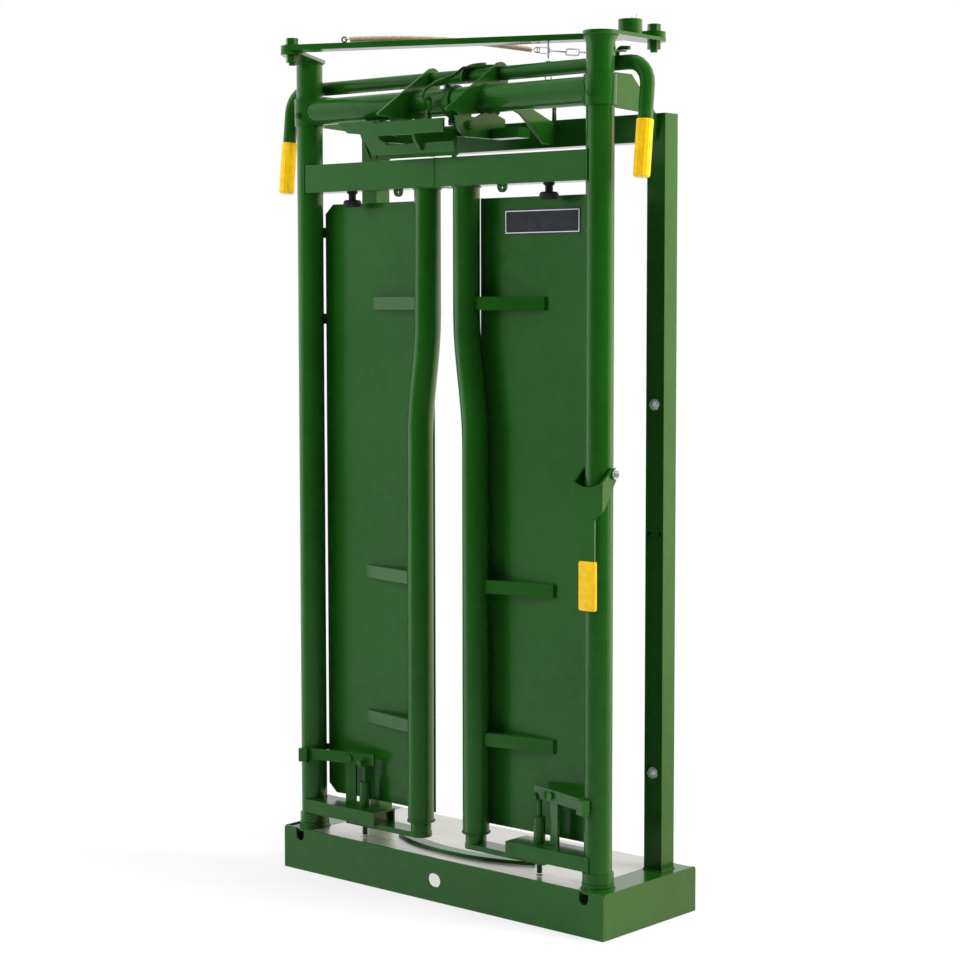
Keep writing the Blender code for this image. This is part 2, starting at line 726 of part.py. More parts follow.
def lock_housing():
    """Two cheeks under the cross tube with the plates between and beside them."""
    place(bracket(BRACKET_LEFT_X), "shaft_bracket_left", GREEN)
    place(bracket(BRACKET_RIGHT_X), "shaft_bracket_right", GREEN)

    saddle = CROSS_RADIUS + WELD_GAP
    reach = math.degrees(math.asin((CROSS_Z - CHEEK_TOP_Z - 0.0135) / saddle))
    outline = [(CHEEK_FRONT_Y, CHEEK_TOP_Z)]
    outline += arc((CHEEK_FRONT_Y + 0.040, CHEEK_LOW_Z + 0.038), 0.038, 175, 262, 8)
    outline += [(CHEEK_BACK_Y - 0.010, CHEEK_LOW_Z), (CHEEK_BACK_Y, CHEEK_LOW_Z + 0.010)]
    outline += [(CHEEK_BACK_Y, CHEEK_TOP_Z)]
    outline += arc((POST_Y, CROSS_Z), saddle, -reach, reach - 180, 8)
    outline += [(POST_Y - 0.040, CHEEK_TOP_Z)]
    bore = [circle((PIVOT_Y, PIVOT_Z), PIVOT_RADIUS + WELD_GAP)]
    half = CHEEK_THICKNESS / 2
    right = plate(outline, CHEEK_THICKNESS, "YZ", CHEEK_X, bore)
    left = plate(outline, CHEEK_THICKNESS, "YZ", -CHEEK_X, bore)
    strap_low = CHEEK_TOP_Z - 0.003 - FRONT_STRAP_HEIGHT
    strap = block(
        (-CHEEK_X - half, CHEEK_FRONT_Y - 0.001, strap_low),
        (FRONT_STRAP_END_X, CHEEK_FRONT_Y - 0.001 + FRONT_STRAP_THICKNESS, strap_low + FRONT_STRAP_HEIGHT),
    )
    back = block(
        (-CHEEK_X, CHEEK_BACK_Y - 0.008, CHEEK_LOW_Z + 0.014),
        (CHEEK_X, CHEEK_BACK_Y - 0.003, CHEEK_TOP_Z - 0.006),
    )
    wing_low = CHEEK_TOP_Z - WING_DROP
    wing_outline = [
        (WING_FRONT_Y, CHEEK_TOP_Z),
        (WING_BACK_Y, CHEEK_TOP_Z),
        (WING_BACK_Y, CHEEK_TOP_Z + WING_THICKNESS),
        (WING_FRONT_Y - WING_THICKNESS / 2, CHEEK_TOP_Z + WING_THICKNESS),
        (WING_FRONT_Y + 0.4 * WING_DROP, wing_low),
        (WING_FRONT_Y + 0.4 * WING_DROP + WING_THICKNESS, wing_low),
    ]
    wing_end = CHEEK_X + half + WING_LENGTH
    wing = plate(wing_outline, WING_LENGTH + half, "YZ", -(wing_end + CHEEK_X) / 2)
    root = CHEEK_X + half + WING_ROOT_LENGTH
    under = [
        (-wing_end - 0.01, CHEEK_TOP_Z),
        (-wing_end, CHEEK_TOP_Z),
        (-wing_end + WING_TIP_DEPTH, CHEEK_TOP_Z - WING_TIP_DEPTH),
        (-root - WING_TIP_DEPTH, CHEEK_TOP_Z - WING_TIP_DEPTH - 0.004),
        (-root, wing_low - 0.001),
        (-root, wing_low - 0.01),
        (-wing_end - 0.01, wing_low - 0.01),
    ]
    wing = cut(wing, plate(under, 0.2, "XZ", WING_FRONT_Y))
    side_box = block((CHEEK_X, SIDE_BOX_BACK_Y - SIDE_BOX_DEPTH, CHEEK_LOW_Z),
                     (CHEEK_X + SIDE_BOX_REACH, SIDE_BOX_BACK_Y, CHEEK_LOW_Z + SIDE_BOX_HEIGHT))
    place(join(left, strap, back, right, wing, side_box), "lock_housing", GREEN)

    outer = CROSS_RADIUS + WELD_GAP + CLAMP_BAND
    start, end = CLAMP_X - CLAMP_WIDTH / 2, CLAMP_X + CLAMP_WIDTH / 2
    band = rod((start, POST_Y, CROSS_Z), (end, POST_Y, CROSS_Z), outer, sides=32)
    ear = block((start, POST_Y - 0.008, CROSS_Z - outer - 0.016), (end, POST_Y + 0.008, CROSS_Z - outer + 0.003))
    bore = rod((start - 0.01, POST_Y, CROSS_Z), (end + 0.01, POST_Y, CROSS_Z), CROSS_RADIUS + WELD_GAP, sides=32)
    place(cut(join(band, ear), bore), "tube_clamp", GREEN)


def lock_dog():
    """The sliding dog, shown lifted: dropped, its tip and heel hold the door arms where they meet."""
    arm_front = POST_Y - ARM_DEPTH / 2
    arm_back = POST_Y + ARM_DEPTH / 2
    tip = ARM_TOP + SLACK
    over = tip + DOG_DROP
    web_top = CROSS_Z - DOG_WEB_DROP
    tab_front, tab_back = KEEPER_Y - DOG_TAB_HALF_WIDTH, KEEPER_Y + DOG_TAB_HALF_WIDTH
    tab_top = KEEPER_HOLE_Z + 0.0074
    heel = arm_back + DOG_HEEL_LENGTH
    outline = [(y, CROSS_Z + z) for y, z in DOG_CURVE]
    outline += [(DOG_NOSE_Y, tip + 0.003), (DOG_HEEL_Y, tip), (arm_front - SLACK, tip), (arm_front - SLACK, over)]
    outline += [(arm_back + SLACK, over), (arm_back + SLACK, tip), (heel, tip), (heel, web_top)]
    outline += [(DOG_NECK_Y, web_top), (tab_back, web_top + 0.008), (tab_back, tab_top - 0.005)]
    outline += [(tab_back - 0.0025, tab_top), (tab_front + 0.0025, tab_top), (tab_front, tab_top - 0.005)]
    outline += [(tab_front, web_top + 0.006), (tab_front - 0.004, web_top - 0.0145), (DOG_SHOULDER_Y, web_top - 0.0145)]
    tongue = plate(outline, DOG_THICKNESS, "YZ", DOG_X, [circle((KEEPER_Y, KEEPER_HOLE_Z), KEEPER_WIRE + 0.0016, 12)])
    cover_outline = [
        (COVER_Y - 0.004, COVER_TOP),
        (COVER_Y, COVER_TOP),
        (COVER_Y + 0.006, COVER_LOW + 0.008),
        (COVER_Y + 0.016, COVER_LOW + 0.001),
        (COVER_Y + 0.014, COVER_LOW - 0.003),
        (COVER_Y + 0.002, COVER_LOW + 0.006),
    ]
    low_x = -CHEEK_X + CHEEK_THICKNESS / 2 + RUN_GAP
    high_x = FRONT_STRAP_END_X - 0.003
    cover = plate(cover_outline, high_x - low_x, "YZ", (high_x + low_x) / 2)
    place(join(tongue, cover), "lock_dog", GREEN, (DOG_X, POST_Y, over))

    bend = KEEPER_HALF_HEIGHT - KEEPER_HALF_WIDTH
    ring = arc((DOG_X, KEEPER_Z + bend), KEEPER_HALF_WIDTH, 0, 180, 8)
    ring += arc((DOG_X, KEEPER_Z - bend), KEEPER_HALF_WIDTH, 180, 360, 8)
    points = [(x, KEEPER_Y, z) for x, z in ring]
    place(bent_rod(points, KEEPER_WIRE, 1, cyclic=True), "keeper_link", ZINC)


def release_shaft():
    """The bent shaft with its two handles, the chain hook on its right end and the crank that lifts the dog."""
    shaft_pivot = (0.0, SHAFT_Y, SHAFT_Z)
    for side, reach, name in ((1, HANDLE_RIGHT_X, "right"), (-1, HANDLE_LEFT_X, "left")):
        end = handle_end(side, reach)
        top = handle_point(side, reach, GRIP_LENGTH)
        low = end + (end - top).normalized() * 0.002
        cover = rod(top, low, SHAFT_RADIUS + GRIP_WALL)
        socket = rod(top + (top - end).normalized() * 0.01, end + (end - top).normalized() * RUN_GAP,
                     SHAFT_RADIUS + WELD_GAP)
        place(cut(cover, socket), "grip_" + name, YELLOW, shaft_pivot)

    points = handle_curve(-1, HANDLE_LEFT_X)[::-1] + handle_curve(1, HANDLE_RIGHT_X)
    shaft = bent_rod(points, SHAFT_RADIUS, 5)
    tab = plate(
        [
            (HOOK_X - 0.016, SHAFT_Z + SHAFT_RADIUS - 0.004),
            (HOOK_X + 0.016, SHAFT_Z + SHAFT_RADIUS - 0.004),
            (HOOK_X + 0.010, SHAFT_Z + 0.044),
            (HOOK_X - 0.010, SHAFT_Z + 0.044),
        ],
        0.006,
        "XZ",
        SHAFT_Y,
    )
    hook_z = KEEPER_Z + KEEPER_HALF_HEIGHT - KEEPER_WIRE - CRANK_WIRE - WELD_GAP
    crank_low = Vector((DOG_X, KEEPER_Y, hook_z))
    crank = bent_rod(
        [
            (0.096, SHAFT_Y + 0.004, SHAFT_Z + SHAFT_RADIUS + 0.002),
            (0.052, SHAFT_Y - 0.006, SHAFT_Z + SHAFT_RADIUS + 0.003),
            (0.027, SHAFT_Y - 0.026, SHAFT_Z + 0.016),
            (0.014, SHAFT_Y - 0.046, SHAFT_Z - 0.002),
            (0.008, crank_low.y + 0.008, SHAFT_Z - 0.018),
            (DOG_X + 0.004, crank_low.y - 0.012, SHAFT_Z - 0.034),
            (DOG_X, crank_low.y - 0.018, crank_low.z + 0.007),
            (DOG_X, crank_low.y - 0.012, crank_low.z),
            (DOG_X, crank_low.y + 0.003, crank_low.z),
        ],
        CRANK_WIRE,
        2,
    )
    place(join(shaft, tab, crank), "release_shaft", GREEN, shaft_pivot)


def handle_curve(side, reach):
    """Points from the middle of the shaft round the bend to the end of one handle."""
    lean = Vector((0.0, -HANDLE_LEAN, -HANDLE_DROP)).normalized()
    along = Vector((side, 0.0, 0.0))
    corner = Vector((side * reach, SHAFT_Y, SHAFT_Z))
    start = corner - along * HANDLE_BEND
    points = [start]
    for i in range(1, 6):
        turn = math.radians(90 * i / 6)
        points.append(start + along * HANDLE_BEND * math.sin(turn) + lean * HANDLE_BEND * (1 - math.cos(turn)))
    points.append(corner + lean * HANDLE_BEND)
    points.append(handle_end(side, reach))
    return [tuple(point) for point in points]


def handle_end(side, reach):
    lean = Vector((0.0, -HANDLE_LEAN, -HANDLE_DROP))
    return Vector((side * reach, SHAFT_Y, SHAFT_Z)) + lean


def handle_point(side, reach, up):
    """A point on the handle this far above its end."""
    lean = Vector((0.0, -HANDLE_LEAN, -HANDLE_DROP)).normalized()
    return handle_end(side, reach) - lean * up


def top_arms():
    for side, name in ((1, "right"), (-1, "left")):
        half = ARM_DEPTH / 2
        near = SEAM_X + side * SEAM_GAP / 2
        far = side * POST_X
        low_x, high_x = min(near, far), max(near, far)
        wall_near = near + side * ARM_WALL
        past = far + side * 0.02
        box = block((low_x, POST_Y - half, ARM_BOTTOM), (high_x, POST_Y + half, ARM_TOP))
        bore = block(
            (min(wall_near, past), POST_Y - half + ARM_WALL, ARM_BOTTOM + ARM_WALL),
            (max(wall_near, past), POST_Y + half - ARM_WALL, ARM_TOP - ARM_WALL),
        )
        eye_z = ARM_BOTTOM - 0.003
        eye = [(side * EYE_X + EYE_RADIUS, ARM_BOTTOM + 0.002)]
        eye += [(side * EYE_X - EYE_RADIUS, ARM_BOTTOM + 0.002)]
        eye += arc((side * EYE_X, eye_z), EYE_RADIUS, 180, 360, 10)
        hole = circle((side * EYE_X, eye_z - 0.0025), EYE_HOLE_RADIUS, 12)
        lug = plate(eye, 0.006, "XZ", EYE_Y, [hole])
        post_space = rod((far, POST_Y, ARM_BOTTOM - 0.01), (far, POST_Y, ARM_TOP + 0.01),
                         POST_RADIUS + WELD_GAP, sides=24)
        arm = cut(join(cut(box, bore), lug), post_space)
        place(arm, "top_arm_" + name, GREEN, post_pivot(side))


def neck_bars():
    steps = 8
    points = [(BAR_TOP_X, POST_Y, ARM_BOTTOM - WELD_GAP)]
    for i in range(steps + 1):
        t = i / steps
        ease = t * t * (3 - 2 * t)
        x = BAR_TOP_X + (BAR_LOW_X - BAR_TOP_X) * ease
        points.append((x, POST_Y, BEND_TOP_Z + (BEND_LOW_Z - BEND_TOP_Z) * t))
    points.append((BAR_LOW_X, POST_Y, BAR_BOTTOM))
    bore = [(BAR_TOP_X, POST_Y, ARM_BOTTOM + 0.01)] + points[1:-1] + [(BAR_LOW_X, POST_Y, BAR_BOTTOM - 0.01)]
    bar = cut(bent_rod(points, BAR_RADIUS, 5), bent_rod(bore, BAR_RADIUS - BAR_WALL, 5))
    sided(bar, "neck_bar", GREEN, post_pivot(1))


def door_sheets():
    """A folded sheet behind each door, with three flat straps on edge that tie it to the neck bar."""
    thick = SHEET_THICKNESS
    inner_x, inner_y = SHEET_INNER_EDGE
    outer_x, outer_y = SHEET_OUTER_EDGE
    plan = [
        (inner_x, inner_y),
        (SHEET_FLAT_INNER_X, SHEET_FLAT_Y),
        (SHEET_FLAT_OUTER_X, SHEET_FLAT_Y),
        (outer_x, outer_y),
        (outer_x, outer_y + thick),
        (SHEET_FLAT_OUTER_X, SHEET_FLAT_Y + thick),
        (SHEET_FLAT_INNER_X, SHEET_FLAT_Y + thick),
        (inner_x, inner_y + thick),
    ]
    sheet = plate(plan, SHEET_TOP - SHEET_BOTTOM, "XY", (SHEET_TOP + SHEET_BOTTOM) / 2)
    for height, turn in ((SHEET_TOP, 1), (SHEET_BOTTOM, -1)):
        corner = [
            (outer_x - SHEET_CHAMFER, height + turn * 0.01),
            (outer_x + 0.01, height + turn * 0.01),
            (outer_x + 0.01, height - turn * (SHEET_CHAMFER + 0.01)),
            (outer_x, height - turn * SHEET_CHAMFER),
            (outer_x - SHEET_CHAMFER, height),
        ]
        sheet = cut(sheet, plate(corner, 0.06, "XZ", outer_y))
    for height in SHEET_TAB_HEIGHTS:
        low, high = height - SHEET_TAB_HEIGHT / 2, height + SHEET_TAB_HEIGHT / 2
        tab = block((outer_x - 0.012, outer_y + 0.0005, low), (POST_X, outer_y + thick + 0.003, high))
        sheet = join(sheet, tab)
    post_space = rod((POST_X, POST_Y, SHEET_BOTTOM - 0.05), (POST_X, POST_Y, SHEET_TOP + 0.05),
                     POST_RADIUS + WELD_GAP)
    sided(cut(sheet, post_space), "door_sheet", GREEN, post_pivot(1))

    for number, (height, reach) in enumerate(zip(STRAP_HEIGHTS, STRAP_REACHES), 1):
        bar_x = BAR_TOP_X if height > BEND_TOP_Z else BAR_LOW_X
        face_y = SHEET_FLAT_Y - WELD_GAP
        plan = [
            (bar_x, POST_Y + 0.004),
            (bar_x + 0.030, POST_Y - 0.004),
            (reach, face_y - STRAP_THICKNESS - 0.001),
            (reach, face_y),
            (reach - 0.040, face_y),
            (bar_x, POST_Y + 0.014),
        ]
        strap = plate(plan, STRAP_HEIGHT, "XY", height)
        bar_space = rod((bar_x, POST_Y, height - 0.05), (bar_x, POST_Y, height + 0.05), BAR_RADIUS + WELD_GAP)
        sided(cut(strap, bar_space), "sheet_strap_%d" % number, GREEN, post_pivot(1))


def rocker_line(x):
    """Where the rocker's middle plane stands at this distance from the centre line."""
    return ROCKER_INNER.y - (x - ROCKER_INNER.x) * math.tan(PLAN_ANGLE)


def tilted(item, x, y):
    """Turns a piece built about the origin into the rocker's plane and moves it to x, y."""
    item.data.transform(Matrix.Translation((x, y, 0.0)) @ Matrix.Rotation(-PLAN_ANGLE, 4, "Z"))
    return item


def door_feet():
    """The channel at the foot of each door, the flat bar under it, and the stand for the latch."""
    inner_x = POST_X - CHANNEL_REACH
    bottom = CHANNEL_TOP - CHANNEL_HEIGHT
    shell = block((inner_x, CHANNEL_FRONT_Y, bottom), (POST_X, CHANNEL_BACK_Y, CHANNEL_TOP))
    space = block((inner_x - 0.01, CHANNEL_FRONT_Y + CHANNEL_WALL, bottom - 0.01),
                  (POST_X + 0.01, CHANNEL_BACK_Y - CHANNEL_WALL, CHANNEL_TOP - CHANNEL_WALL))
    post_space = rod((POST_X, POST_Y, bottom - 0.02), (POST_X, POST_Y, CHANNEL_TOP + 0.02),
                     POST_RADIUS + WELD_GAP)
    pin_hole = rod((LATCH_PIN_X, LATCH_PIN_Y, bottom), (LATCH_PIN_X, LATCH_PIN_Y, CHANNEL_TOP + 0.01),
                   LATCH_PIN_RADIUS + RUN_GAP)
    sided(cut(shell, space, post_space, pin_hole), "foot_channel", GREEN, post_pivot(1))

    low = FOOT_BAR_BOTTOM
    top = low + FOOT_BAR_THICKNESS
    half = 0.025
    outline = [(FOOT_BAR_OUTER_X, POST_Y - half), (FOOT_BAR_OUTER_X, POST_Y + half)]
    outline += arc((BAR_LOW_X, POST_Y), half, 90, 270, 12)
    bar = plate(outline, FOOT_BAR_THICKNESS, "XY", low + FOOT_BAR_THICKNESS / 2)
    stub = rod((BAR_LOW_X, POST_Y, top - 0.002), (BAR_LOW_X, POST_Y, BAR_BOTTOM - WELD_GAP), STUB_RADIUS)
    spacer = block((inner_x + 0.012, POST_Y - half, top - 0.002),
                   (FOOT_BAR_OUTER_X, POST_Y + half, CHANNEL_TOP - CHANNEL_WALL - WELD_GAP))
    pin_hole = rod((LATCH_PIN_X, LATCH_PIN_Y, low - 0.01), (LATCH_PIN_X, LATCH_PIN_Y, CHANNEL_TOP),
                   LATCH_PIN_RADIUS + RUN_GAP)
    sided(cut(join(bar, stub, spacer), pin_hole), "foot_bar", GREEN, post_pivot(1))


def foot_latches():
    """A pin that drops to the floor from each door, and the rocker that lifts it."""
    pivot_y = rocker_line(ROCKER_PIVOT_X)
    pivot = (ROCKER_PIVOT_X, pivot_y, ROCKER_Z)
    low = CHANNEL_TOP + WELD_GAP
    across = ROCKER_THICKNESS / 2 + RUN_GAP
    stand = block((-STAND_WIDTH / 2, across, low),
                  (STAND_WIDTH / 2, across + STAND_THICKNESS, ROCKER_Z + 0.010))
    hole = rod((0, -0.02, ROCKER_Z), (0, 0.02, ROCKER_Z), PIVOT_BOLT_RADIUS + WELD_GAP, sides=16)
    stand = tilted(cut(stand, hole), ROCKER_PIVOT_X, pivot_y)
    tube = rod((LATCH_PIN_X, LATCH_PIN_Y, low), (LATCH_PIN_X, LATCH_PIN_Y, PIN_TUBE_TOP), PIN_TUBE_RADIUS)
    tube_bore = rod((LATCH_PIN_X, LATCH_PIN_Y, low - 0.01), (LATCH_PIN_X, LATCH_PIN_Y, PIN_TUBE_TOP + 0.01),
                    LATCH_PIN_RADIUS + RUN_GAP)
    foot = block((LATCH_PIN_X, LATCH_PIN_Y - 0.003, low), (ROCKER_PIVOT_X, LATCH_PIN_Y + 0.003, low + 0.006))
    sided(cut(join(stand, foot, tube), tube_bore), "latch_stand", GREEN, post_pivot(1))

    cosine = math.cos(PLAN_ANGLE)
    inner = (ROCKER_INNER.x - ROCKER_PIVOT_X) / cosine
    outer = (ROCKER_OUTER_X - ROCKER_PIVOT_X) / cosine
    half = ROCKER_HEIGHT / 2
    outline = [
        (inner, ROCKER_Z - half),
        (outer, ROCKER_Z - half),
        (outer, ROCKER_Z + half),
        (inner, ROCKER_Z + half),
    ]
    bar = plate(outline, ROCKER_THICKNESS, "XZ", 0.0)
    tail = block((outer - 0.022, -0.016, ROCKER_Z - half - ROCKER_TAIL_DROP / 2),
                 (outer, 0.0, ROCKER_Z + half))
    shank = rod((0, -0.004, ROCKER_Z), (0, across + STAND_THICKNESS + 0.002, ROCKER_Z), PIVOT_BOLT_RADIUS, sides=16)
    head = rod((0, -0.009, ROCKER_Z), (0, -0.002, ROCKER_Z), 0.0095, sides=6)
    rocker = tilted(join(bar, tail, shank, head), ROCKER_PIVOT_X, pivot_y)
    sided(rocker, "latch_rocker", GREEN, pivot)

    pin = rod((LATCH_PIN_X, LATCH_PIN_Y, LATCH_PIN_BOTTOM), (LATCH_PIN_X, LATCH_PIN_Y, LATCH_PIN_TOP),
              LATCH_PIN_RADIUS, sides=16)
    sided(pin, "latch_pin", ZINC, (LATCH_PIN_X, LATCH_PIN_Y, LATCH_PIN_TOP))


def bumpers():
    top = ARM_BOTTOM - WELD_GAP
    low = top - BUMPER_DROP
    profile = [
        (0, top),
        (0.0125, top),
        (0.0125, top - 0.003),
        (BUMPER_STEM_RADIUS, top - 0.006),
        (BUMPER_STEM_RADIUS, low + 0.017),
        (BUMPER_RADIUS - 0.003, low + 0.016),
        (BUMPER_RADIUS, low + 0.012),
        (BUMPER_RADIUS, low + 0.005),
        (BUMPER_RADIUS - 0.004, low + 0.001),
        (0, low),
    ]
    sided(turned(profile[::-1], (BUMPER_X, POST_Y)), "bumper", RUBBER, post_pivot(1))


def arm_outline(angle):
    """A tapered plate with round ends from the post to the link pivot, in plan, root at the origin."""
    outline = arc((0, 0), LINK_ARM_ROOT, 95, 265, 10)
    outline += arc((LINK_ARM_LENGTH, 0), LINK_ARM_TIP, -85, 85, 10)
    cosine, sine = math.cos(angle), math.sin(angle)
    return [(x * cosine - y * sine, x * sine + y * cosine) for x, y in outline]


def link_arms():
    low = POST_TOP + WELD_GAP
    middle = low + LINK_ARM_THICKNESS / 2
    hole_radius = LINK_BOLT_RADIUS + RUN_GAP
    for side, pivot, name in ((1, RIGHT_PIVOT, "right"), (-1, LEFT_PIVOT, "left")):
        axis = Vector((side * POST_X, POST_Y))
        angle = math.atan2(pivot.y - axis.y, pivot.x - axis.x)
        outline = [(axis.x + x, axis.y + y) for x, y in arm_outline(angle)]
        holes = [circle((pivot.x, pivot.y), hole_radius)] if side < 0 else []
        arm = plate(outline, LINK_ARM_THICKNESS, "XY", middle, holes)
        if side > 0:
            x, y = pivot.x, pivot.y
            nut = hexagon((x, y, low - HEX_HEIGHT), (x, y, low + 0.002), HEX_FLAT)
            end = rod((x, y, low - HEX_HEIGHT - 0.006), (x, y, low), LINK_BOLT_RADIUS, sides=16)
            arm = join(arm, nut, end)
            arm = join(arm, rod((POST_X, ARM_SLEEVE_Y, middle), (POST_X, ARM_SLEEVE_Y,
                       LINK_ARM_TOP + ARM_SLEEVE_HEIGHT), ARM_SLEEVE_RADIUS))
        place(arm, "link_arm_" + name, GREEN, post_pivot(side))


def link_bolts():
    """The pivot bolts. The left one runs through bar and arm; the right one ends on the arm's top."""
    for pivot, name in ((RIGHT_PIVOT, "right"), (LEFT_PIVOT, "left")):
        x, y = pivot.x, pivot.y
        head_low = LINK_TOP + RUN_GAP
        washer = rod((x, y, head_low), (x, y, head_low + 0.002), 0.016)
        head = hexagon((x, y, head_low + 0.001), (x, y, head_low + HEX_HEIGHT), HEX_FLAT)
        shank_low = LINK_BOTTOM
        if name == "left":
            nut_top = POST_TOP + WELD_GAP - RUN_GAP
            shank_low = nut_top - HEX_HEIGHT - 0.006
            head = join(head, hexagon((x, y, nut_top - HEX_HEIGHT), (x, y, nut_top), HEX_FLAT))
        shank = rod((x, y, shank_low), (x, y, head_low + 0.002), LINK_BOLT_RADIUS, sides=16)
        place(join(shank, washer, head), "link_bolt_" + name, ZINC, (x, y, LINK_BOTTOM))


def link_bar():
    """The bar that ties the two door arms, with an eyebolt near its rear edge for the return spring."""
    length = (RIGHT_PIVOT - LEFT_PIVOT).length
    half = LINK_WIDTH / 2
    outline = arc((0, 0), half, 90, 270, 8) + arc((length, 0), half, -90, 90, 8)
    holes = [circle((0, 0), LINK_BOLT_RADIUS + RUN_GAP), circle((length, 0), LINK_BOLT_RADIUS + RUN_GAP)]
    bar = plate(outline, LINK_THICKNESS, "XY", LINK_BOTTOM + LINK_THICKNESS / 2, holes)
    eye_x = SPRING_START - EYE_OFFSET
    eye_z = LINK_TOP + SPRING_RISE
    aside = SPRING_START_ASIDE
    stem = rod((eye_x, aside, LINK_BOTTOM + 0.002), (eye_x, aside, eye_z - EYE_RING_RADIUS), EYEBOLT_RADIUS, sides=12)
    ring = bent_rod([(x, aside, z) for x, z in circle((eye_x, eye_z), EYE_RING_RADIUS, 12)],
                    EYE_WIRE, 1, cyclic=True)
    bar = join(bar, stem, ring)
    turn = Matrix.Rotation(math.atan2(LINK_DIRECTION.y, LINK_DIRECTION.x), 4, "Z")
    bar.data.transform(Matrix.Translation((LEFT_PIVOT.x, LEFT_PIVOT.y, 0.0)) @ turn)
    place(bar, "link_bar", GREEN, (LEFT_PIVOT.x, LEFT_PIVOT.y, LINK_BOTTOM))


def along_link(distance, aside, z):
    """A point this far from the left pivot along the link bar and this far behind its middle."""
    place_on = LEFT_PIVOT + LINK_DIRECTION * distance + LINK_SIDE * aside
    return Vector((place_on.x, place_on.y, z))


def return_spring():
    """One unbroken wire over the link bar's rear edge: a hook on the eyebolt, the curls, a tail for the chain."""
    start = along_link(SPRING_START, SPRING_START_ASIDE, LINK_TOP + SPRING_RISE)
    end = along_link(SPRING_START + SPRING_LENGTH, SPRING_END_ASIDE, LINK_BOTTOM - SPRING_FALL)
    axis = (end - start).normalized()
    across = axis.cross(Vector((0, 0, 1))).normalized()
    up = across.cross(axis)
    count = SPRING_CURLS * POINTS_PER_CURL
    length = (end - start).length
    hook = EYE_OFFSET - (EYE_RING_RADIUS - EYE_WIRE - SPRING_WIRE - WELD_GAP)
    points = [
        start - axis * hook - across * 0.0045,
        start - axis * hook + across * 0.0035,
        start - axis * (hook - 0.002) + across * SPRING_RADIUS,
        start - axis * 0.005 + across * SPRING_RADIUS,
    ]
    for i in range(count + 1):
        t = i / count
        turn = 2 * math.pi * i / POINTS_PER_CURL
        centre = start + axis * (length * t)
        points.append(centre + (across * math.cos(turn) + up * math.sin(turn)) * SPRING_RADIUS)
    points += [end + axis * 0.006, end + axis * 0.014]
    pitch = length / SPRING_CURLS
    print("spring pitch %.2f mm, wire %.2f mm, gap %.2f mm" % (
        pitch * 1000, SPRING_WIRE * 2000, (pitch - 2 * SPRING_WIRE) * 1000))
    place(bent_rod([tuple(point) for point in points], SPRING_WIRE, 1), "return_spring", SPRING_STEEL,
          (LEFT_PIVOT.x, LEFT_PIVOT.y, LINK_BOTTOM))


def post_lever():
    """The yoke that turns on a bolt through the right post, with the flat grip below it."""
    half = LEVER_HALF_WIDTH
    thick = LEVER_THICKNESS
    front = LEVER_FRONT_Y
    low = LEVER_Z - 0.076
    top = LEVER_Z - 0.021
    side_outline = [(front + 0.001, top + 0.004), (front + 0.001, low + 0.001), (front + thick + 0.001, low + 0.001)]
    side_outline += arc((POST_Y, LEVER_Z), 0.0135, -40, 110, 8)
    plates = [plate(side_outline, thick, "YZ", POST_X + turn * (half - thick / 2)) for turn in (1, -1)]
    narrow = LEVER_BAR_WIDTH / 2
    inner = half - 0.001
    front_outline = []
    for step in range(9):
        t = step / 4 - 1
        front_outline.append((POST_X + inner * t, top - 0.006 + 0.012 * t * t))
    front_outline += [(POST_X + inner, low)]
    front_outline += [(POST_X + narrow + 0.004, LEVER_SHOULDER_Z + 0.006), (POST_X + narrow, LEVER_SHOULDER_Z)]
    front_outline += [(POST_X + narrow, LEVER_BOTTOM_Z), (POST_X - narrow, LEVER_BOTTOM_Z)]
    front_outline += [(POST_X - narrow, LEVER_SHOULDER_Z), (POST_X - narrow - 0.004, LEVER_SHOULDER_Z + 0.006)]
    front_outline += [(POST_X - inner, low)]
    face = plate(front_outline, thick, "XZ", front + thick / 2)
    shank = rod((POST_X - half - 0.006, POST_Y, LEVER_Z), (POST_X + half + 0.003, POST_Y, LEVER_Z),
                PIVOT_BOLT_RADIUS, sides=16)
    head = hexagon((POST_X + half - 0.001, POST_Y, LEVER_Z), (POST_X + half + 0.0055, POST_Y, LEVER_Z), 0.0085)
    nut = hexagon((POST_X - half + 0.001, POST_Y, LEVER_Z), (POST_X - half - 0.0055, POST_Y, LEVER_Z), 0.0085)
    pivot = (POST_X, POST_Y, LEVER_Z)
    place(join(face, *plates, shank, head, nut), "lever_yoke", GREEN, pivot)

    wide, deep = LEVER_GRIP_WIDTH / 2, LEVER_GRIP_DEPTH / 2
    middle_y = front + thick / 2
    sleeve = block((POST_X - wide, middle_y - deep, LEVER_BOTTOM_Z - 0.006),
                   (POST_X + wide, middle_y + deep, LEVER_GRIP_TOP))
    bevel = sleeve.modifiers.new("round", "BEVEL")
    bevel.width = 0.005
    bevel.segments = 3
    sleeve = as_mesh(sleeve, "sleeve")
    space = block((POST_X - narrow - WELD_GAP, middle_y - thick / 2 - WELD_GAP, LEVER_BOTTOM_Z - WELD_GAP),
                  (POST_X + narrow + WELD_GAP, middle_y + thick / 2 + WELD_GAP, LEVER_GRIP_TOP + 0.01))
    place(cut(sleeve, space), "lever_grip", YELLOW, pivot)


def main():
    base()
    sockets()
    post(1, "post_right", True)
    post(-1, "post_left", False)
    head_frame()
    lock_housing()
    lock_dog()
    release_shaft()
    top_arms()
    neck_bars()
    door_sheets()
    door_feet()
    foot_latches()
    bumpers()
    link_arms()
    link_bolts()
    link_bar()
    return_spring()
    post_lever()


main()
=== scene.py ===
"""The self-locking headlock dressed for the photograph's view: finishes, fasteners, chain, spring and welds.

Metres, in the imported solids' own frame: +Z up, the origin in the middle of the front wall's lower edge.
"""

import math

import bmesh
import bpy
from mathutils import Matrix, Vector


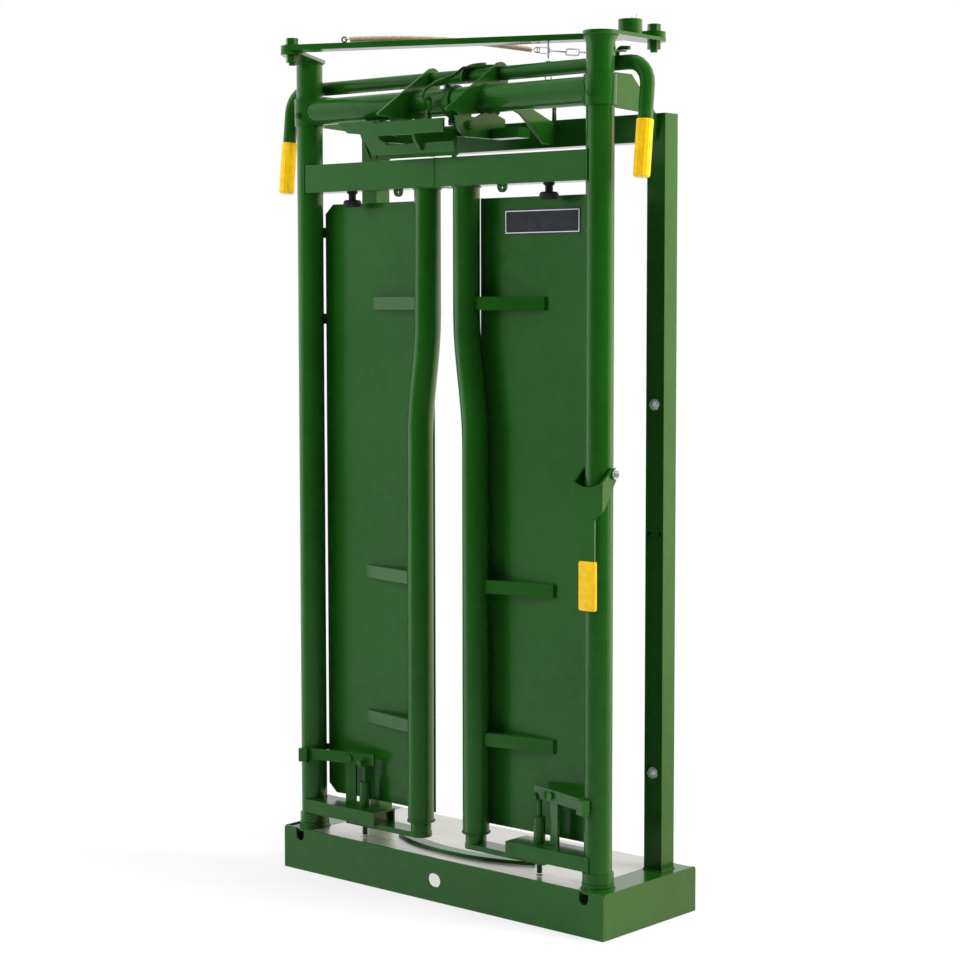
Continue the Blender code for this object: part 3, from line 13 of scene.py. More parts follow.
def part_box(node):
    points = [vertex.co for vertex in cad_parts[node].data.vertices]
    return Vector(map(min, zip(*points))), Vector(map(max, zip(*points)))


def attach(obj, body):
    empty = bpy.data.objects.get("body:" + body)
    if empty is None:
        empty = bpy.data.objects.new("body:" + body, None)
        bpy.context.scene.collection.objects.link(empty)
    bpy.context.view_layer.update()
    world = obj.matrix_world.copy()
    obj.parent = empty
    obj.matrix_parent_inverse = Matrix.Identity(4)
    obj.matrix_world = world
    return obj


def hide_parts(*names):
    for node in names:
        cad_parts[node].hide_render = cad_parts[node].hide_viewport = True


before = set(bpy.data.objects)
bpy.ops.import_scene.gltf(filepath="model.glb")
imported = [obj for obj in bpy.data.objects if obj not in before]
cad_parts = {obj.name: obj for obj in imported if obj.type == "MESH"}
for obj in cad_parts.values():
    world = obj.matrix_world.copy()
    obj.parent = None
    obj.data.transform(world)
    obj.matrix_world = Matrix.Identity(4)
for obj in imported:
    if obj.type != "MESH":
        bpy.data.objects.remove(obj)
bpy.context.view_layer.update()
bpy.context.scene.view_settings.view_transform = "Standard"

# The photograph's camera: pixels, metres and radians, and the sensor's width in mm
PHOTO_SIDE = 960
FOCAL_PIXELS = 2228.8
CAMERA_PLACE = Vector((3.3235, -3.6049, 1.3428))
CAMERA_YAW = 0.7238
CAMERA_PITCH = 0.0805
CAMERA_ROLL = -0.0012
SENSOR = 36.0
NEAREST, FARTHEST = 0.05, 200

# Sizes shared with the solids
SIDES = ((1, "right"), (-1, "left"))
TUBE_RADIUS = 0.03015
ARM_HEIGHT = 0.0634
SLEEVE_RADIUS = 0.035
CHEEK_PLACES = (-0.1213, 0.1213)
CHEEK_HALF = 0.003
PIVOT_DROP = 0.0606
PIVOT_FORWARD = 0.066
BOLT_HEIGHTS = (0.314, 1.118)
GUSSET_FRONT_HEIGHT = 0.066
BAR_BEND_HEIGHT = 1.0
SHAFT_BEHIND_POSTS = 0.05125
SHAFT_BELOW_TAB_TOP = 0.044
LINK_THICKNESS = 0.0127
GRIP_LEAN = (0.0, -0.1003, -0.995)
BOSS_OUTWARD = 0.010
BOSS_BEHIND = 0.100

# Edges and shading of the solids
EDGE_WIDTH = 0.0010
SHEET_EDGE_WIDTH = 0.0006
PIN_EDGE_WIDTH = 0.0008
EDGE_SEGMENTS = 2
CORNER_DEGREES = 32
MERGE_DISTANCE = 1e-5
SAME_POINT = 1e-6

# Weld beads; an arc is its start and sweep in degrees and its number of steps
BEAD_RADIUS = 0.0026
RIPPLE_LENGTH = 0.0034
RIPPLE_POINTS = 4
RIPPLE_DEPTH = 0.13
BEAD_UNEVENNESS = 0.30
BEAD_SIDES = 8
BRACKET_RING_LIFT = 0.0006
CHEEK_RING_LIFT = 0.0008
CHEEK_ARC = (205, 130, 14)
PLATE_TOP_STOP = 0.006
GUSSET_LOW_STOP = 0.002
GUSSET_BEAM_STOP = 0.008
BRACE_LOW_STOP = 0.012
ARM_JOINT_INSET = 0.003
ARM_CAP_INSET = 0.0015
FOOT_RING_RISE = 0.002
FOOT_RING_INSET = 0.0004
STRAP_BEAD_ENDS = ((-0.002, -0.012), (0.001, 0.004))
LINK_ARM_RING_LIFT = 0.0004
FLANGE_RING_LIFT = 0.005
FLANGE_ARC = (-130, 260, 28)

# Fasteners: half the width across corners, then a bolt's parts as shares of it
UPRIGHT_BOLT_SIZE = 0.0098
PIVOT_BOLT_SIZE = 0.0100
SMALL_BOLT_SIZE = 0.0066
SET_SCREW_SIZE = 0.0065
LEVER_BOLT_SIZE = 0.0085
PIN_BOLT_SIZE = 0.0075
BOLT_SHARES = {"Head Height": 0.72, "Washer Radius": 1.30, "Washer Thickness": 0.20, "Stud Radius": 0.52}
BOLT_SUNK = 0.10
RIM_RADIUS = 0.88
RIM_HEIGHT = 0.10
WASHER_SIDES = 20
STUD_SIDES = 12
BLUE_STUD = 0.30
PAINTED_STUD = 0.20

# Where the fasteners sit on their solids
CLAMP_EAR = 0.008
CLAMP_TOP_FORWARD = 0.022
CLAMP_TOP_DROP = 0.006
CLAMP_TOP_WAY = (0, -0.55, 0.84)
SHEET_BOLT_X = -0.294
SHEET_BOLT_Z = 0.186
LEVER_BOLT_SUNK = 0.001
LEVER_BOLT_DROP = 0.0135
SET_SCREW_DROP = 0.0075
PIN_BOLT_FORWARD = 0.006
PIN_BOLT_DROP = 0.004

# Chain between the spring and the shaft's hook
LINK_LENGTH = 0.053
LINK_WIDTH = 0.0158
LINK_WIRE = 0.0016
LINK_CORNER_SHARE = 0.36
LINK_CORNER_POINTS = 4
LINK_SIDES = 8
CHAIN_END = (0.008, -0.001, 0.024)
CHAIN_SAG = 0.004
CHAIN_SHARES = (0.05, 0.3, 0.5, 0.7, 1.0)
TAIL_SHARE = 0.115
TAIL_RISE = 0.004
TAIL_DROP = 0.045
TAIL_LINK_LENGTH = 0.046
TAIL_TURN = 0.75

# Return spring, closer wound than the solid one; hook points are (along, across)
SPRING_TURNS = 138
SPRING_RADIUS = 0.0050
SPRING_WIRE = 0.0014
SPRING_POINTS = 14
SPRING_START = 0.130
SPRING_LENGTH = 0.410
SPRING_START_ASIDE = 0.0215
SPRING_END_ASIDE = 0.060
SPRING_RISE = 0.0120
SPRING_FALL = 0.0060
SPRING_BOW = 0.0105
SPRING_DIP = 0.0020
SPRING_HOOK = ((-0.0115, -0.004), (-0.0125, -0.001), (-0.0118, 0.003), (-0.0095, SPRING_RADIUS),
               (-0.004, SPRING_RADIUS))
SPRING_TAIL = 0.003
SPRING_EYE_PLACE = 0.012
SPRING_EYE_RADIUS = 0.006
SPRING_EYE_DEGREES = range(20, 360, 20)

# Bent rods on the shaft; a corner's rounding takes at most this share of the line on either side
CUT_SHARE = 0.49
HOOK_ROD_START = (0.010, -0.006, 0.012)
HOOK_ROD_PATH = ((0.0, 0.0), (0.0, 0.013), (0.007, 0.018), (0.031, 0.016))
HOOK_ROD_CORNER = 0.005
HOOK_ROD_RADIUS = 0.0042
CRANK_PATH = ((0.066, 0.002, 0.0215), (0.044, -0.001, 0.0215), (0.030, -0.012, 0.018),
              (0.023, -0.022, 0.004), (0.021, -0.021, -0.012))
CRANK_CORNER = 0.010
CRANK_RADIUS = 0.0060

# Cotter pin: each prong's foot and tip as (outward, back, up) from the boss
COTTER_RADIUS = 0.0009
COTTER_PRONGS = (((-0.004, 0.0, -0.003), (-0.006, 0.0, 0.007)), ((0.003, 0.002, -0.003), (0.005, 0.002, 0.009)))

# Grips: the rolled edge is (distance along the grip, rise over its radius)
GRIP_SIDES = 96
GRIP_FLUTES = 16
GRIP_FLUTE_DEPTH = 0.0006
GRIP_ROUNDING = 0.006
GRIP_ROLLED_EDGE = ((0.0, -0.0034), (0.0, -0.0006), (0.0008, 0.0001), (0.0030, 0.0001), (0.0045, -0.0003))
GRIP_EDGE_LENGTH = 0.006
GRIP_RINGS = 6
GRIP_WAVE = 0.0001
GRIP_END_DEGREES = range(15, 91, 15)

# Bare plate on the right door, its corners as (x, z)
PLATE_LOW = (0.137, 1.484)
PLATE_HIGH = (0.349, 1.5385)
PLATE_THICKNESS = 0.0008
PLATE_EDGE_WIDTH = 0.0003
BORDER_INSET = 0.0030
BORDER_WIDTH = 0.0018
BORDER_LIFT = 0.00012
BORDER_THICKNESS = 0.0002

# Linear colours; a pair is what a finish goes between
GREENS = ((0.0085, 0.067, 0.0056), (0.0112, 0.082, 0.0074))
GREEN_FILM = (0.0150, 0.096, 0.0110)
BRIGHT_ZINCS = ((0.62, 0.66, 0.70), (0.84, 0.87, 0.90))
BLUE_ZINCS = ((0.10, 0.20, 0.36), (0.38, 0.48, 0.60))
SHEET_GREYS = ((0.56, 0.55, 0.51), (0.70, 0.69, 0.65))
# The darker tone that the bare sheet takes in patches laid at random
SHEET_DARK_PATCH = (0.40, 0.37, 0.34)
YELLOWS = ((0.74, 0.42, 0.0010), (0.84, 0.51, 0.0020))
RUBBER_BLACKS = ((0.012, 0.012, 0.014), (0.030, 0.029, 0.030))
SPRING_TANS = ((0.64, 0.48, 0.34), (0.80, 0.64, 0.47))
ENAMEL_BLACKS = ((0.010, 0.012, 0.016), (0.022, 0.024, 0.030))
BORDER_GREYS = ((0.62, 0.64, 0.66), (0.74, 0.76, 0.78))
WHITE = (1.0, 1.0, 1.0)
WARM_WHITE = (1.0, 0.90, 0.62)

# The studio: ways out from the headlock, the light on it, and the floor with its zones in metres
VIEWER_WAY = (0.662, -0.749, 0.0)
RIGHT_WAY = (0.72, 0.69, 0.0)
UP_WAY = (0.0, 0.0, 1.0)
AMBIENT = 0.20
FLOOR_HALF = 30.0
FLOOR_DROP = 0.0006
FLOOR_GREY = (0.90, 0.90, 0.90, 1.0)
FLOOR_WHITE_NEAR = 0.66
SHADOW_ZONE = (0.7, 2.4)
NEAR_ZONE = (1.0, 7.0)
NEAR_GLOW = 0.30
NEAR_GLOW_SHARE = 0.5


# ---------------------------------------------------------------- nodes written as expressions


class Value:
    """One output of a node; Python's operators on it add Math nodes."""

    def __init__(self, graph, socket):
        self.graph = graph
        self.socket = socket

    def math(self, operation, *values):
        return self.graph.add("ShaderNodeMath", {"operation": operation}, dict(enumerate(values)))

    def __add__(self, other):
        return self.math("ADD", self, other)

    def __radd__(self, other):
        return self.math("ADD", other, self)

    def __sub__(self, other):
        return self.math("SUBTRACT", self, other)

    def __rsub__(self, other):
        return self.math("SUBTRACT", other, self)

    def __mul__(self, other):
        return self.math("MULTIPLY", self, other)

    def __rmul__(self, other):
        return self.math("MULTIPLY", other, self)

    def __truediv__(self, other):
        return self.math("DIVIDE", self, other)

    def __rtruediv__(self, other):
        return self.math("DIVIDE", other, self)

    def __pow__(self, other):
        return self.math("POWER", self, other)

    def between(self, low, high):
        """0 below low, 1 above high, smooth between."""
        return self.graph.add("ShaderNodeMapRange", {"interpolation_type": "SMOOTHSTEP"},
                              {"Value": self, "From Min": low, "From Max": high})


class Graph:
    """A node tree; add() is the one way in which nodes get made."""

    def __init__(self, tree):
        self.tree = tree

    def add(self, kind, settings=None, inputs=None, output=0):
        made = self.tree.nodes.new(kind)
        for name, value in (settings or {}).items():
            if name == "stops":
                ramp = made.color_ramp
                while len(ramp.elements) < len(value):
                    ramp.elements.new(0.5)
                for element, (place, colour) in zip(ramp.elements, value):
                    element.position = place
                    element.color = (*colour, 1.0)
            else:
                setattr(made, name, value)
        for key, value in (inputs or {}).items():
            socket = made.inputs[key]
            if isinstance(value, Value):
                self.tree.links.new(value.socket, socket)
            else:
                socket.default_value = value
        return Value(self, made.outputs[output]) if made.outputs else None

    def noise(self, place, scale, detail=2.0, roughness=0.5):
        return self.add("ShaderNodeTexNoise", {"noise_dimensions": "3D"},
                        {"Vector": place, "Scale": scale, "Detail": detail, "Roughness": roughness})

    def mix(self, share, first, second):
        """A colour between two, by share; 6, 7 and 2 are the node's colour sockets."""
        colours = [(*c, 1.0) if isinstance(c, tuple) else c for c in (first, second)]
        return self.add("ShaderNodeMix", {"data_type": "RGBA"}, {0: share, 6: colours[0], 7: colours[1]}, 2)

    def stretched(self, place, factors):
        return self.add("ShaderNodeVectorMath", {"operation": "MULTIPLY"}, {0: place, 1: factors})

    def bump(self, height, strength, distance):
        return self.add("ShaderNodeBump", None, {"Strength": strength, "Distance": distance, "Height": height})


def blank_material(name):
    """A material without nodes, and its graph."""
    made = bpy.data.materials.new(name)
    made.use_nodes = True
    made.node_tree.nodes.clear()
    return made, Graph(made.node_tree)


def finish_of(name, build):
    """A material whose surface build(graph, place) describes as Principled inputs."""
    made, graph = blank_material(name)
    place = graph.add("ShaderNodeTexCoord", None, None, "Object")
    surface = graph.add("ShaderNodeBsdfPrincipled", None, build(graph, place))
    graph.add("ShaderNodeOutputMaterial", None, {"Surface": surface})
    return made


def paint(graph, place):
    """Glossy enamel: faint orange peel, a coat a little thicker here and there."""
    coat = graph.noise(place, scale=3.1, detail=3.0)
    film = graph.noise(place, scale=38.0)
    peel = graph.noise(place, scale=430.0, detail=1.0)
    colour = graph.mix(coat.between(0.3, 0.7), *GREENS)
    return {
        "Base Color": graph.mix(film.between(0.35, 0.75) * 0.30, colour, GREEN_FILM),
        "Roughness": 0.13 + film * 0.10,
        "Normal": graph.bump(peel + film * 2.0, strength=0.10, distance=0.0004),
    }


def shiny_zinc(graph, place):
    """Bright zinc with a blue cast and small spangles."""
    spangle = graph.add("ShaderNodeTexVoronoi", {"feature": "F1"}, {"Vector": place, "Scale": 900.0})
    cloud = graph.noise(place, scale=240.0, detail=3.0)
    return {
        "Base Color": graph.mix(cloud.between(0.3, 0.7), *BRIGHT_ZINCS),
        "Metallic": 0.70,
        "Roughness": 0.18 + cloud * 0.22,
        "Normal": graph.bump(spangle, strength=0.12, distance=0.0002),
    }


def mill_sheet(graph, place):
    """Bare rolled sheet: long rolling streaks, faint darker patches laid at random by a soft noise."""
    streak = graph.noise(graph.stretched(place, (1.2, 55.0, 55.0)), scale=3.0, detail=4.0, roughness=0.6)
    dark_patch = graph.noise(place, scale=9.0, detail=4.0, roughness=0.6)
    colour = graph.mix(streak.between(0.30, 0.70), *SHEET_GREYS)
    return {
        "Base Color": graph.mix(dark_patch.between(0.52, 0.80) * 0.45, colour, SHEET_DARK_PATCH),
        "Metallic": 0.70,
        "Roughness": 0.20 + streak * 0.20,
        "Normal": graph.bump(streak, strength=0.10, distance=0.0004),
    }


def vinyl(graph, place):
    """Dipped vinyl: warm yellow, soft waves, thin places a little deeper in colour."""
    wave = graph.noise(place, scale=70.0)
    skin = graph.noise(place, scale=700.0, detail=1.0)
    return {
        "Base Color": graph.mix(wave.between(0.25, 0.75), *YELLOWS),
        "Roughness": 0.27 + skin * 0.16,
        "Coat Weight": 0.10,
        "Normal": graph.bump(wave + skin * 0.15, strength=0.20, distance=0.0006),
    }


def rubber(graph, place):
    """Moulded black rubber with a fine dull skin."""
    skin = graph.noise(place, scale=650.0, detail=3.0)
    dust = graph.noise(place, scale=55.0, detail=3.0)
    return {
        "Base Color": graph.mix(dust.between(0.45, 0.8), *RUBBER_BLACKS),
        "Roughness": 0.48 + skin * 0.22,
        "Normal": graph.bump(skin, strength=0.25, distance=0.0003),
    }


def clouded(colours, scale, shine, dulling, bump, metallic=0.0, detail=3.0, high=0.8):
    """A build for finish_of: one soft cloud sets the colour, the roughness and a faint bump."""

    def build(graph, place):
        cloud = graph.noise(place, scale, detail)
        return {
            "Base Color": graph.mix(cloud.between(0.3, high), *colours),
            "Metallic": metallic,
            "Roughness": shine + cloud * dulling,
            "Normal": graph.bump(cloud, strength=bump, distance=0.0002),
        }

    return build


PAINT = finish_of("headlock_enamel", paint)
ZINC = finish_of("headlock_zinc", shiny_zinc)
BLUE_ZINC = finish_of("headlock_blue_zinc", clouded(
    BLUE_ZINCS, scale=300.0, shine=0.16, dulling=0.20, bump=0.10, metallic=1.0, high=0.7))
MILL_SHEET = finish_of("headlock_mill_sheet", mill_sheet)
VINYL = finish_of("headlock_vinyl", vinyl)
RUBBER = finish_of("headlock_rubber", rubber)
SPRING_ZINC = finish_of("headlock_spring_zinc", clouded(
    SPRING_TANS, scale=130.0, shine=0.30, dulling=0.18, bump=0.10, metallic=0.45, detail=2.0, high=0.7))
PLATE_ENAMEL = finish_of("headlock_plate_enamel", clouded(
    ENAMEL_BLACKS, scale=90.0, shine=0.24, dulling=0.14, bump=0.08))
PLATE_BORDER = finish_of("headlock_plate_border", clouded(
    BORDER_GREYS, scale=160.0, shine=0.34, dulling=0.12, bump=0.08))


# ---------------------------------------------------------------- geometry trees


def geometry_tree(name, sizes):
    """A geometry tree with a geometry input and one float input for each named size."""
    tree = bpy.data.node_groups.new(name, "GeometryNodeTree")
    tree.interface.new_socket("Geometry", in_out="INPUT", socket_type="NodeSocketGeometry")
    for label, value in sizes.items():
        socket = tree.interface.new_socket(label, in_out="INPUT", socket_type="NodeSocketFloat")
        socket.default_value = value
    tree.interface.new_socket("Geometry", in_out="OUTPUT", socket_type="NodeSocketGeometry")
    graph = Graph(tree)
    start = tree.nodes.new("NodeGroupInput")
    inputs = {socket.name: Value(graph, socket) for socket in start.outputs if socket.name}
    return tree, graph, inputs


def ended(tree, shape):
    """The tree with this shape as its result."""
    end = tree.nodes.new("NodeGroupOutput")
    tree.links.new(shape.socket, end.inputs[0])
    return tree


def close_tree(tree, graph, shape, material, smooth=True):
    """Realize, shade and give the material: the tree's last nodes."""
    real = graph.add("GeometryNodeRealizeInstances", None, {"Geometry": shape})
    shaded = graph.add("GeometryNodeSetShadeSmooth", None, {"Geometry": real, "Shade Smooth": smooth})
    return ended(tree, graph.add("GeometryNodeSetMaterial", None, {"Geometry": shaded, "Material": material}))


def join_shapes(graph, *shapes):
    made = graph.tree.nodes.new("GeometryNodeJoinGeometry")
    for shape in shapes:
        graph.tree.links.new(shape.socket, made.inputs[0])
    return Value(graph, made.outputs[0])


def swept(graph, curve, sides, radius, inputs):
    """A round profile along a curve."""
    profile = graph.add("GeometryNodeCurvePrimitiveCircle", None, {"Resolution": sides, "Radius": radius})
    return graph.add("GeometryNodeCurveToMesh", None, {"Curve": curve, "Profile Curve": profile, **inputs})


def wire_tree(material):
    """A round wire along each line of edges."""
    tree, graph, given = geometry_tree("round_wire", {"Wire Radius": 0.002, "Sides": 10.0})
    curve = graph.add("GeometryNodeMeshToCurve", None, {"Mesh": given["Geometry"]})
    tube = swept(graph, curve, given["Sides"], given["Wire Radius"], {"Fill Caps": True})
    return close_tree(tree, graph, tube, material)


def bead_tree(material):
    """A rippled weld bead along each line of edges."""
    sizes = {"Bead Radius": BEAD_RADIUS, "Ripple Length": RIPPLE_LENGTH, "Ripple Depth": RIPPLE_DEPTH,
             "Unevenness": BEAD_UNEVENNESS}
    tree, graph, given = geometry_tree("weld_bead", sizes)
    curve = graph.add("GeometryNodeMeshToCurve", None, {"Mesh": given["Geometry"]})
    spaced = graph.add("GeometryNodeResampleCurve", {"mode": "LENGTH"},
                       {"Curve": curve, "Length": given["Ripple Length"] / RIPPLE_POINTS})
    run = graph.add("GeometryNodeSplineParameter", None, None, "Length")
    phase = run / given["Ripple Length"] * (2 * math.pi)
    uneven = graph.noise(graph.add("GeometryNodeInputPosition"), scale=90.0, detail=1.0)
    scale = (1.0 + phase.math("SINE", phase) * given["Ripple Depth"]
             + (uneven - 0.5) * 2.0 * given["Unevenness"])
    tube = swept(graph, spaced, BEAD_SIDES, given["Bead Radius"], {"Scale": scale, "Fill Caps": True})
    return close_tree(tree, graph, tube, material)


def bolt_tree(material, name, sides=6, stud=0.45):
    """A washer, a head and a stud end at each point, along its direction and to its size."""
    tree, graph, given = geometry_tree(name, {**BOLT_SHARES, "Stud Length": stud})

    def disc(count, radius, depth, low):
        body = graph.add("GeometryNodeMeshCylinder", None,
                         {"Vertices": count, "Radius": radius, "Depth": depth})
        shift = graph.add("ShaderNodeCombineXYZ", None, {"Z": low + depth / 2})
        return graph.add("GeometryNodeTransform", None, {"Geometry": body, "Translation": shift})

    seat = given["Washer Thickness"]
    washer = disc(WASHER_SIDES, given["Washer Radius"], seat + BOLT_SUNK, -BOLT_SUNK)
    head = disc(sides, 1.0, given["Head Height"], seat)
    rim = disc(sides, RIM_RADIUS, RIM_HEIGHT, seat + given["Head Height"])
    thread = disc(STUD_SIDES, given["Stud Radius"], given["Stud Length"] + given["Head Height"], seat)
    direction, size = (graph.add("GeometryNodeInputNamedAttribute", {"data_type": kind}, {"Name": name})
                       for name, kind in (("direction", "FLOAT_VECTOR"), ("size", "FLOAT")))
    turn = graph.add("FunctionNodeAlignRotationToVector", {"axis": "Z"}, {"Vector": direction})
    many = graph.add("GeometryNodeInstanceOnPoints", None,
                     {"Points": given["Geometry"], "Instance": join_shapes(graph, washer, head, rim, thread),
                      "Rotation": turn, "Scale": size})
    return close_tree(tree, graph, many, material, False)


def chain_tree(material):
    """Straight-sided links along a line, each a quarter turn from the last and at least a pitch on."""
    sizes = {"Link Length": LINK_LENGTH, "Link Width": LINK_WIDTH, "Wire Radius": LINK_WIRE, "First Turn": 0.0}
    tree, graph, given = geometry_tree("chain_links", sizes)
    wire = given["Wire Radius"]
    curve = graph.add("GeometryNodeMeshToCurve", None, {"Mesh": given["Geometry"]})
    pitch = given["Link Length"] - wire * 4
    points = graph.add("GeometryNodeResampleCurve", {"mode": "LENGTH"}, {"Curve": curve, "Length": pitch})
    line = graph.add("GeometryNodeCurvePrimitiveQuadrilateral", None,
                     {"Width": given["Link Length"] - wire * 2, "Height": given["Link Width"] - wire * 2})
    corner = given["Link Width"] * LINK_CORNER_SHARE
    rounded = graph.add("GeometryNodeFilletCurve", {"mode": "POLY"},
                        {"Curve": line, "Count": LINK_CORNER_POINTS, "Radius": corner})
    link = swept(graph, rounded, LINK_SIDES, wire, {})
    along = graph.add("GeometryNodeInputTangent")
    turn = graph.add("FunctionNodeAlignRotationToVector", {"axis": "X"}, {"Vector": along})
    order = graph.add("GeometryNodeInputIndex")
    quarter = graph.add("ShaderNodeCombineXYZ", None,
                        {"X": order.math("MODULO", order, 2.0) * (math.pi / 2) + given["First Turn"]})
    twist = graph.add("FunctionNodeEulerToRotation", None, {"Euler": quarter})
    spun = graph.add("FunctionNodeRotateRotation", {"rotation_space": "LOCAL"},
                     {"Rotation": turn, "Rotate By": twist})
    many = graph.add("GeometryNodeInstanceOnPoints", None,
                     {"Points": points, "Instance": link, "Rotation": spun})
    return close_tree(tree, graph, many, material)


def grown(source, tree, sizes, name):
    """The tree's result on a source object as a plain mesh object; the source is removed."""
    bpy.context.scene.collection.objects.link(source)
    modifier = source.modifiers.new("grow", "NODES")
    modifier.node_group = tree
    for item in tree.interface.items_tree:
        if item.in_out == "INPUT" and item.name in sizes:
            modifier[item.identifier] = float(sizes[item.name])
    bpy.context.view_layer.update()
    graph = bpy.context.evaluated_depsgraph_get()
    mesh = bpy.data.meshes.new_from_object(source.evaluated_get(graph), depsgraph=graph)
    bpy.data.objects.remove(source, do_unlink=True)
    mesh.name = name
    return shown(name, mesh)


def shown(name, mesh):
    made = bpy.data.objects.new(name, mesh)
    bpy.context.scene.collection.objects.link(made)
    return made


def lines_object(lines):
    """A mesh of edges only; each line is (points, closed)."""
    mesh = bpy.data.meshes.new("lines")
    points, edges = [], []
    for line, closed in lines:
        first = len(points)
        points += [tuple(point) for point in line]
        edges += [(i, i + 1) for i in range(first, len(points) - 1)]
        if closed:
            edges.append((len(points) - 1, first))
    mesh.from_pydata(points, edges, [])
    return bpy.data.objects.new("lines", mesh)


def points_object(rows):
    """Loose points with a direction and a size each."""
    mesh = bpy.data.meshes.new("points")
    mesh.from_pydata([tuple(place) for place, _, _ in rows], [], [])
    mesh.attributes.new("direction", "FLOAT_VECTOR", "POINT")
    mesh.attributes.new("size", "FLOAT", "POINT")
    for i, (_, way, radius) in enumerate(rows):
        mesh.attributes["direction"].data[i].vector = way
        mesh.attributes["size"].data[i].value = radius
    return bpy.data.objects.new("points", mesh)


# ---------------------------------------------------------------- hand-made shapes


def solid(name, build, material, smooth=True):
    """A mesh object at the origin; build(bm) fills it."""
    bm = bmesh.new()
    build(bm)
    bmesh.ops.remove_doubles(bm, verts=bm.verts, dist=SAME_POINT)
    bmesh.ops.recalc_face_normals(bm, faces=bm.faces)
    for face in bm.faces:
        face.smooth = smooth
    mesh = bpy.data.meshes.new(name)
    bm.to_mesh(mesh)
    bm.free()
    mesh.materials.append(material)
    return shown(name, mesh)


def turned(bm, start, axis, profile, sides, flutes, depth):
    """Rings of points round an axis, with shallow flutes; profile is (distance along it, radius)."""
    axis = Vector(axis).normalized()
    across = axis.orthogonal().normalized()
    other = axis.cross(across)
    rings = []
    for along, radius in profile:
        ring = []
        for k in range(sides):
            turn = 2 * math.pi * k / sides
            out = across * math.cos(turn) + other * math.sin(turn)
            groove = depth * (0.5 - 0.5 * math.cos(flutes * turn))
            ring.append(bm.verts.new(Vector(start) + axis * along + out * (radius - groove)))
        rings.append(ring)
    for near, far in zip(rings, rings[1:]):
        for k in range(sides):
            bm.faces.new((near[k], near[(k + 1) % sides], far[(k + 1) % sides], far[k]))
    bm.faces.new(rings[0][::-1])
    bm.faces.new(rings[-1])


def rounded_line(points, radius, steps=6):
    """The line through the points with its corners rounded."""
    made = [points[0]]
    for before, corner, after in zip(points, points[1:], points[2:]):
        cut = min(radius, (corner - before).length * CUT_SHARE, (after - corner).length * CUT_SHARE)
        start = corner + (before - corner).normalized() * cut
        end = corner + (after - corner).normalized() * cut
        for i in range(steps + 1):
            t = i / steps
            made.append(start * (1 - t) ** 2 + corner * (2 * t * (1 - t)) + end * t**2)
    made.append(points[-1])
    return made


def edges_rounded(piece, width):
    bevel = piece.modifiers.new("edges", "BEVEL")
    bevel.width = width
    bevel.segments = EDGE_SEGMENTS
    bevel.limit_method = "ANGLE"
    bevel.angle_limit = math.radians(CORNER_DEGREES)
    return piece


# ---------------------------------------------------------------- camera, light and floor


def camera():
    lens = bpy.data.cameras.new("photo_camera")
    lens.sensor_fit = "HORIZONTAL"
    lens.sensor_width = SENSOR
    lens.lens = SENSOR * FOCAL_PIXELS / PHOTO_SIDE
    lens.clip_start, lens.clip_end = NEAREST, FARTHEST
    made = bpy.data.objects.new("photo_camera", lens)
    forward = Vector((-math.sin(CAMERA_YAW) * math.cos(CAMERA_PITCH),
                      math.cos(CAMERA_YAW) * math.cos(CAMERA_PITCH), -math.sin(CAMERA_PITCH)))
    level = Vector((math.cos(CAMERA_YAW), math.sin(CAMERA_YAW), 0.0))
    upright = level.cross(forward)
    right = level * math.cos(CAMERA_ROLL) + upright * math.sin(CAMERA_ROLL)
    up = upright * math.cos(CAMERA_ROLL) - level * math.sin(CAMERA_ROLL)
    turn = Matrix((right, up, -forward)).transposed().to_4x4()
    made.matrix_world = Matrix.Translation(CAMERA_PLACE) @ turn
    bpy.context.scene.collection.objects.link(made)
    bpy.context.scene.camera = made


def softbox(name, place, target, width, height, watts):
    lamp = bpy.data.lights.new(name, "AREA")
    lamp.shape = "RECTANGLE"
    lamp.size, lamp.size_y = width, height
    lamp.energy = watts
    made = bpy.data.objects.new(name, lamp)
    made.location = place
    made.rotation_euler = (Vector(target) - Vector(place)).to_track_quat("-Z", "Y").to_euler()
    made.visible_glossy = False
    bpy.context.scene.collection.objects.link(made)


def reflected_light(graph, direction):
    """Strength and tint of what the paint mirrors: white at the left, warm at the right, dark in front."""

    def facing(way):
        """The cosine of the angle between the direction and this way."""
        return graph.add("ShaderNodeVectorMath", {"operation": "DOT_PRODUCT"}, {0: direction, 1: way}, "Value")

    viewer = facing(VIEWER_WAY)
    right = facing(RIGHT_WAY).between(0.35, 0.95)
    upward = facing(UP_WAY).between(0.35, 0.8)
    bright = 1.05 - viewer.between(-0.25, 0.40) * 1.02 + right * 0.70
    strength = bright * (1.0 - viewer.between(0.28, 0.44) * 0.97) * (1.0 - upward * 0.6)
    return strength, graph.mix(right, WHITE, WARM_WHITE)


def ray_kinds(graph):
    """Whether a ray comes from the camera, straight or through glass, and whether it is a reflection."""
    rays = graph.tree.nodes.new("ShaderNodeLightPath")
    seen, glossy, clear = (Value(graph, rays.outputs["Is %s Ray" % kind])
                           for kind in ("Camera", "Glossy", "Transmission"))
    return seen.math("MAXIMUM", seen, clear), glossy


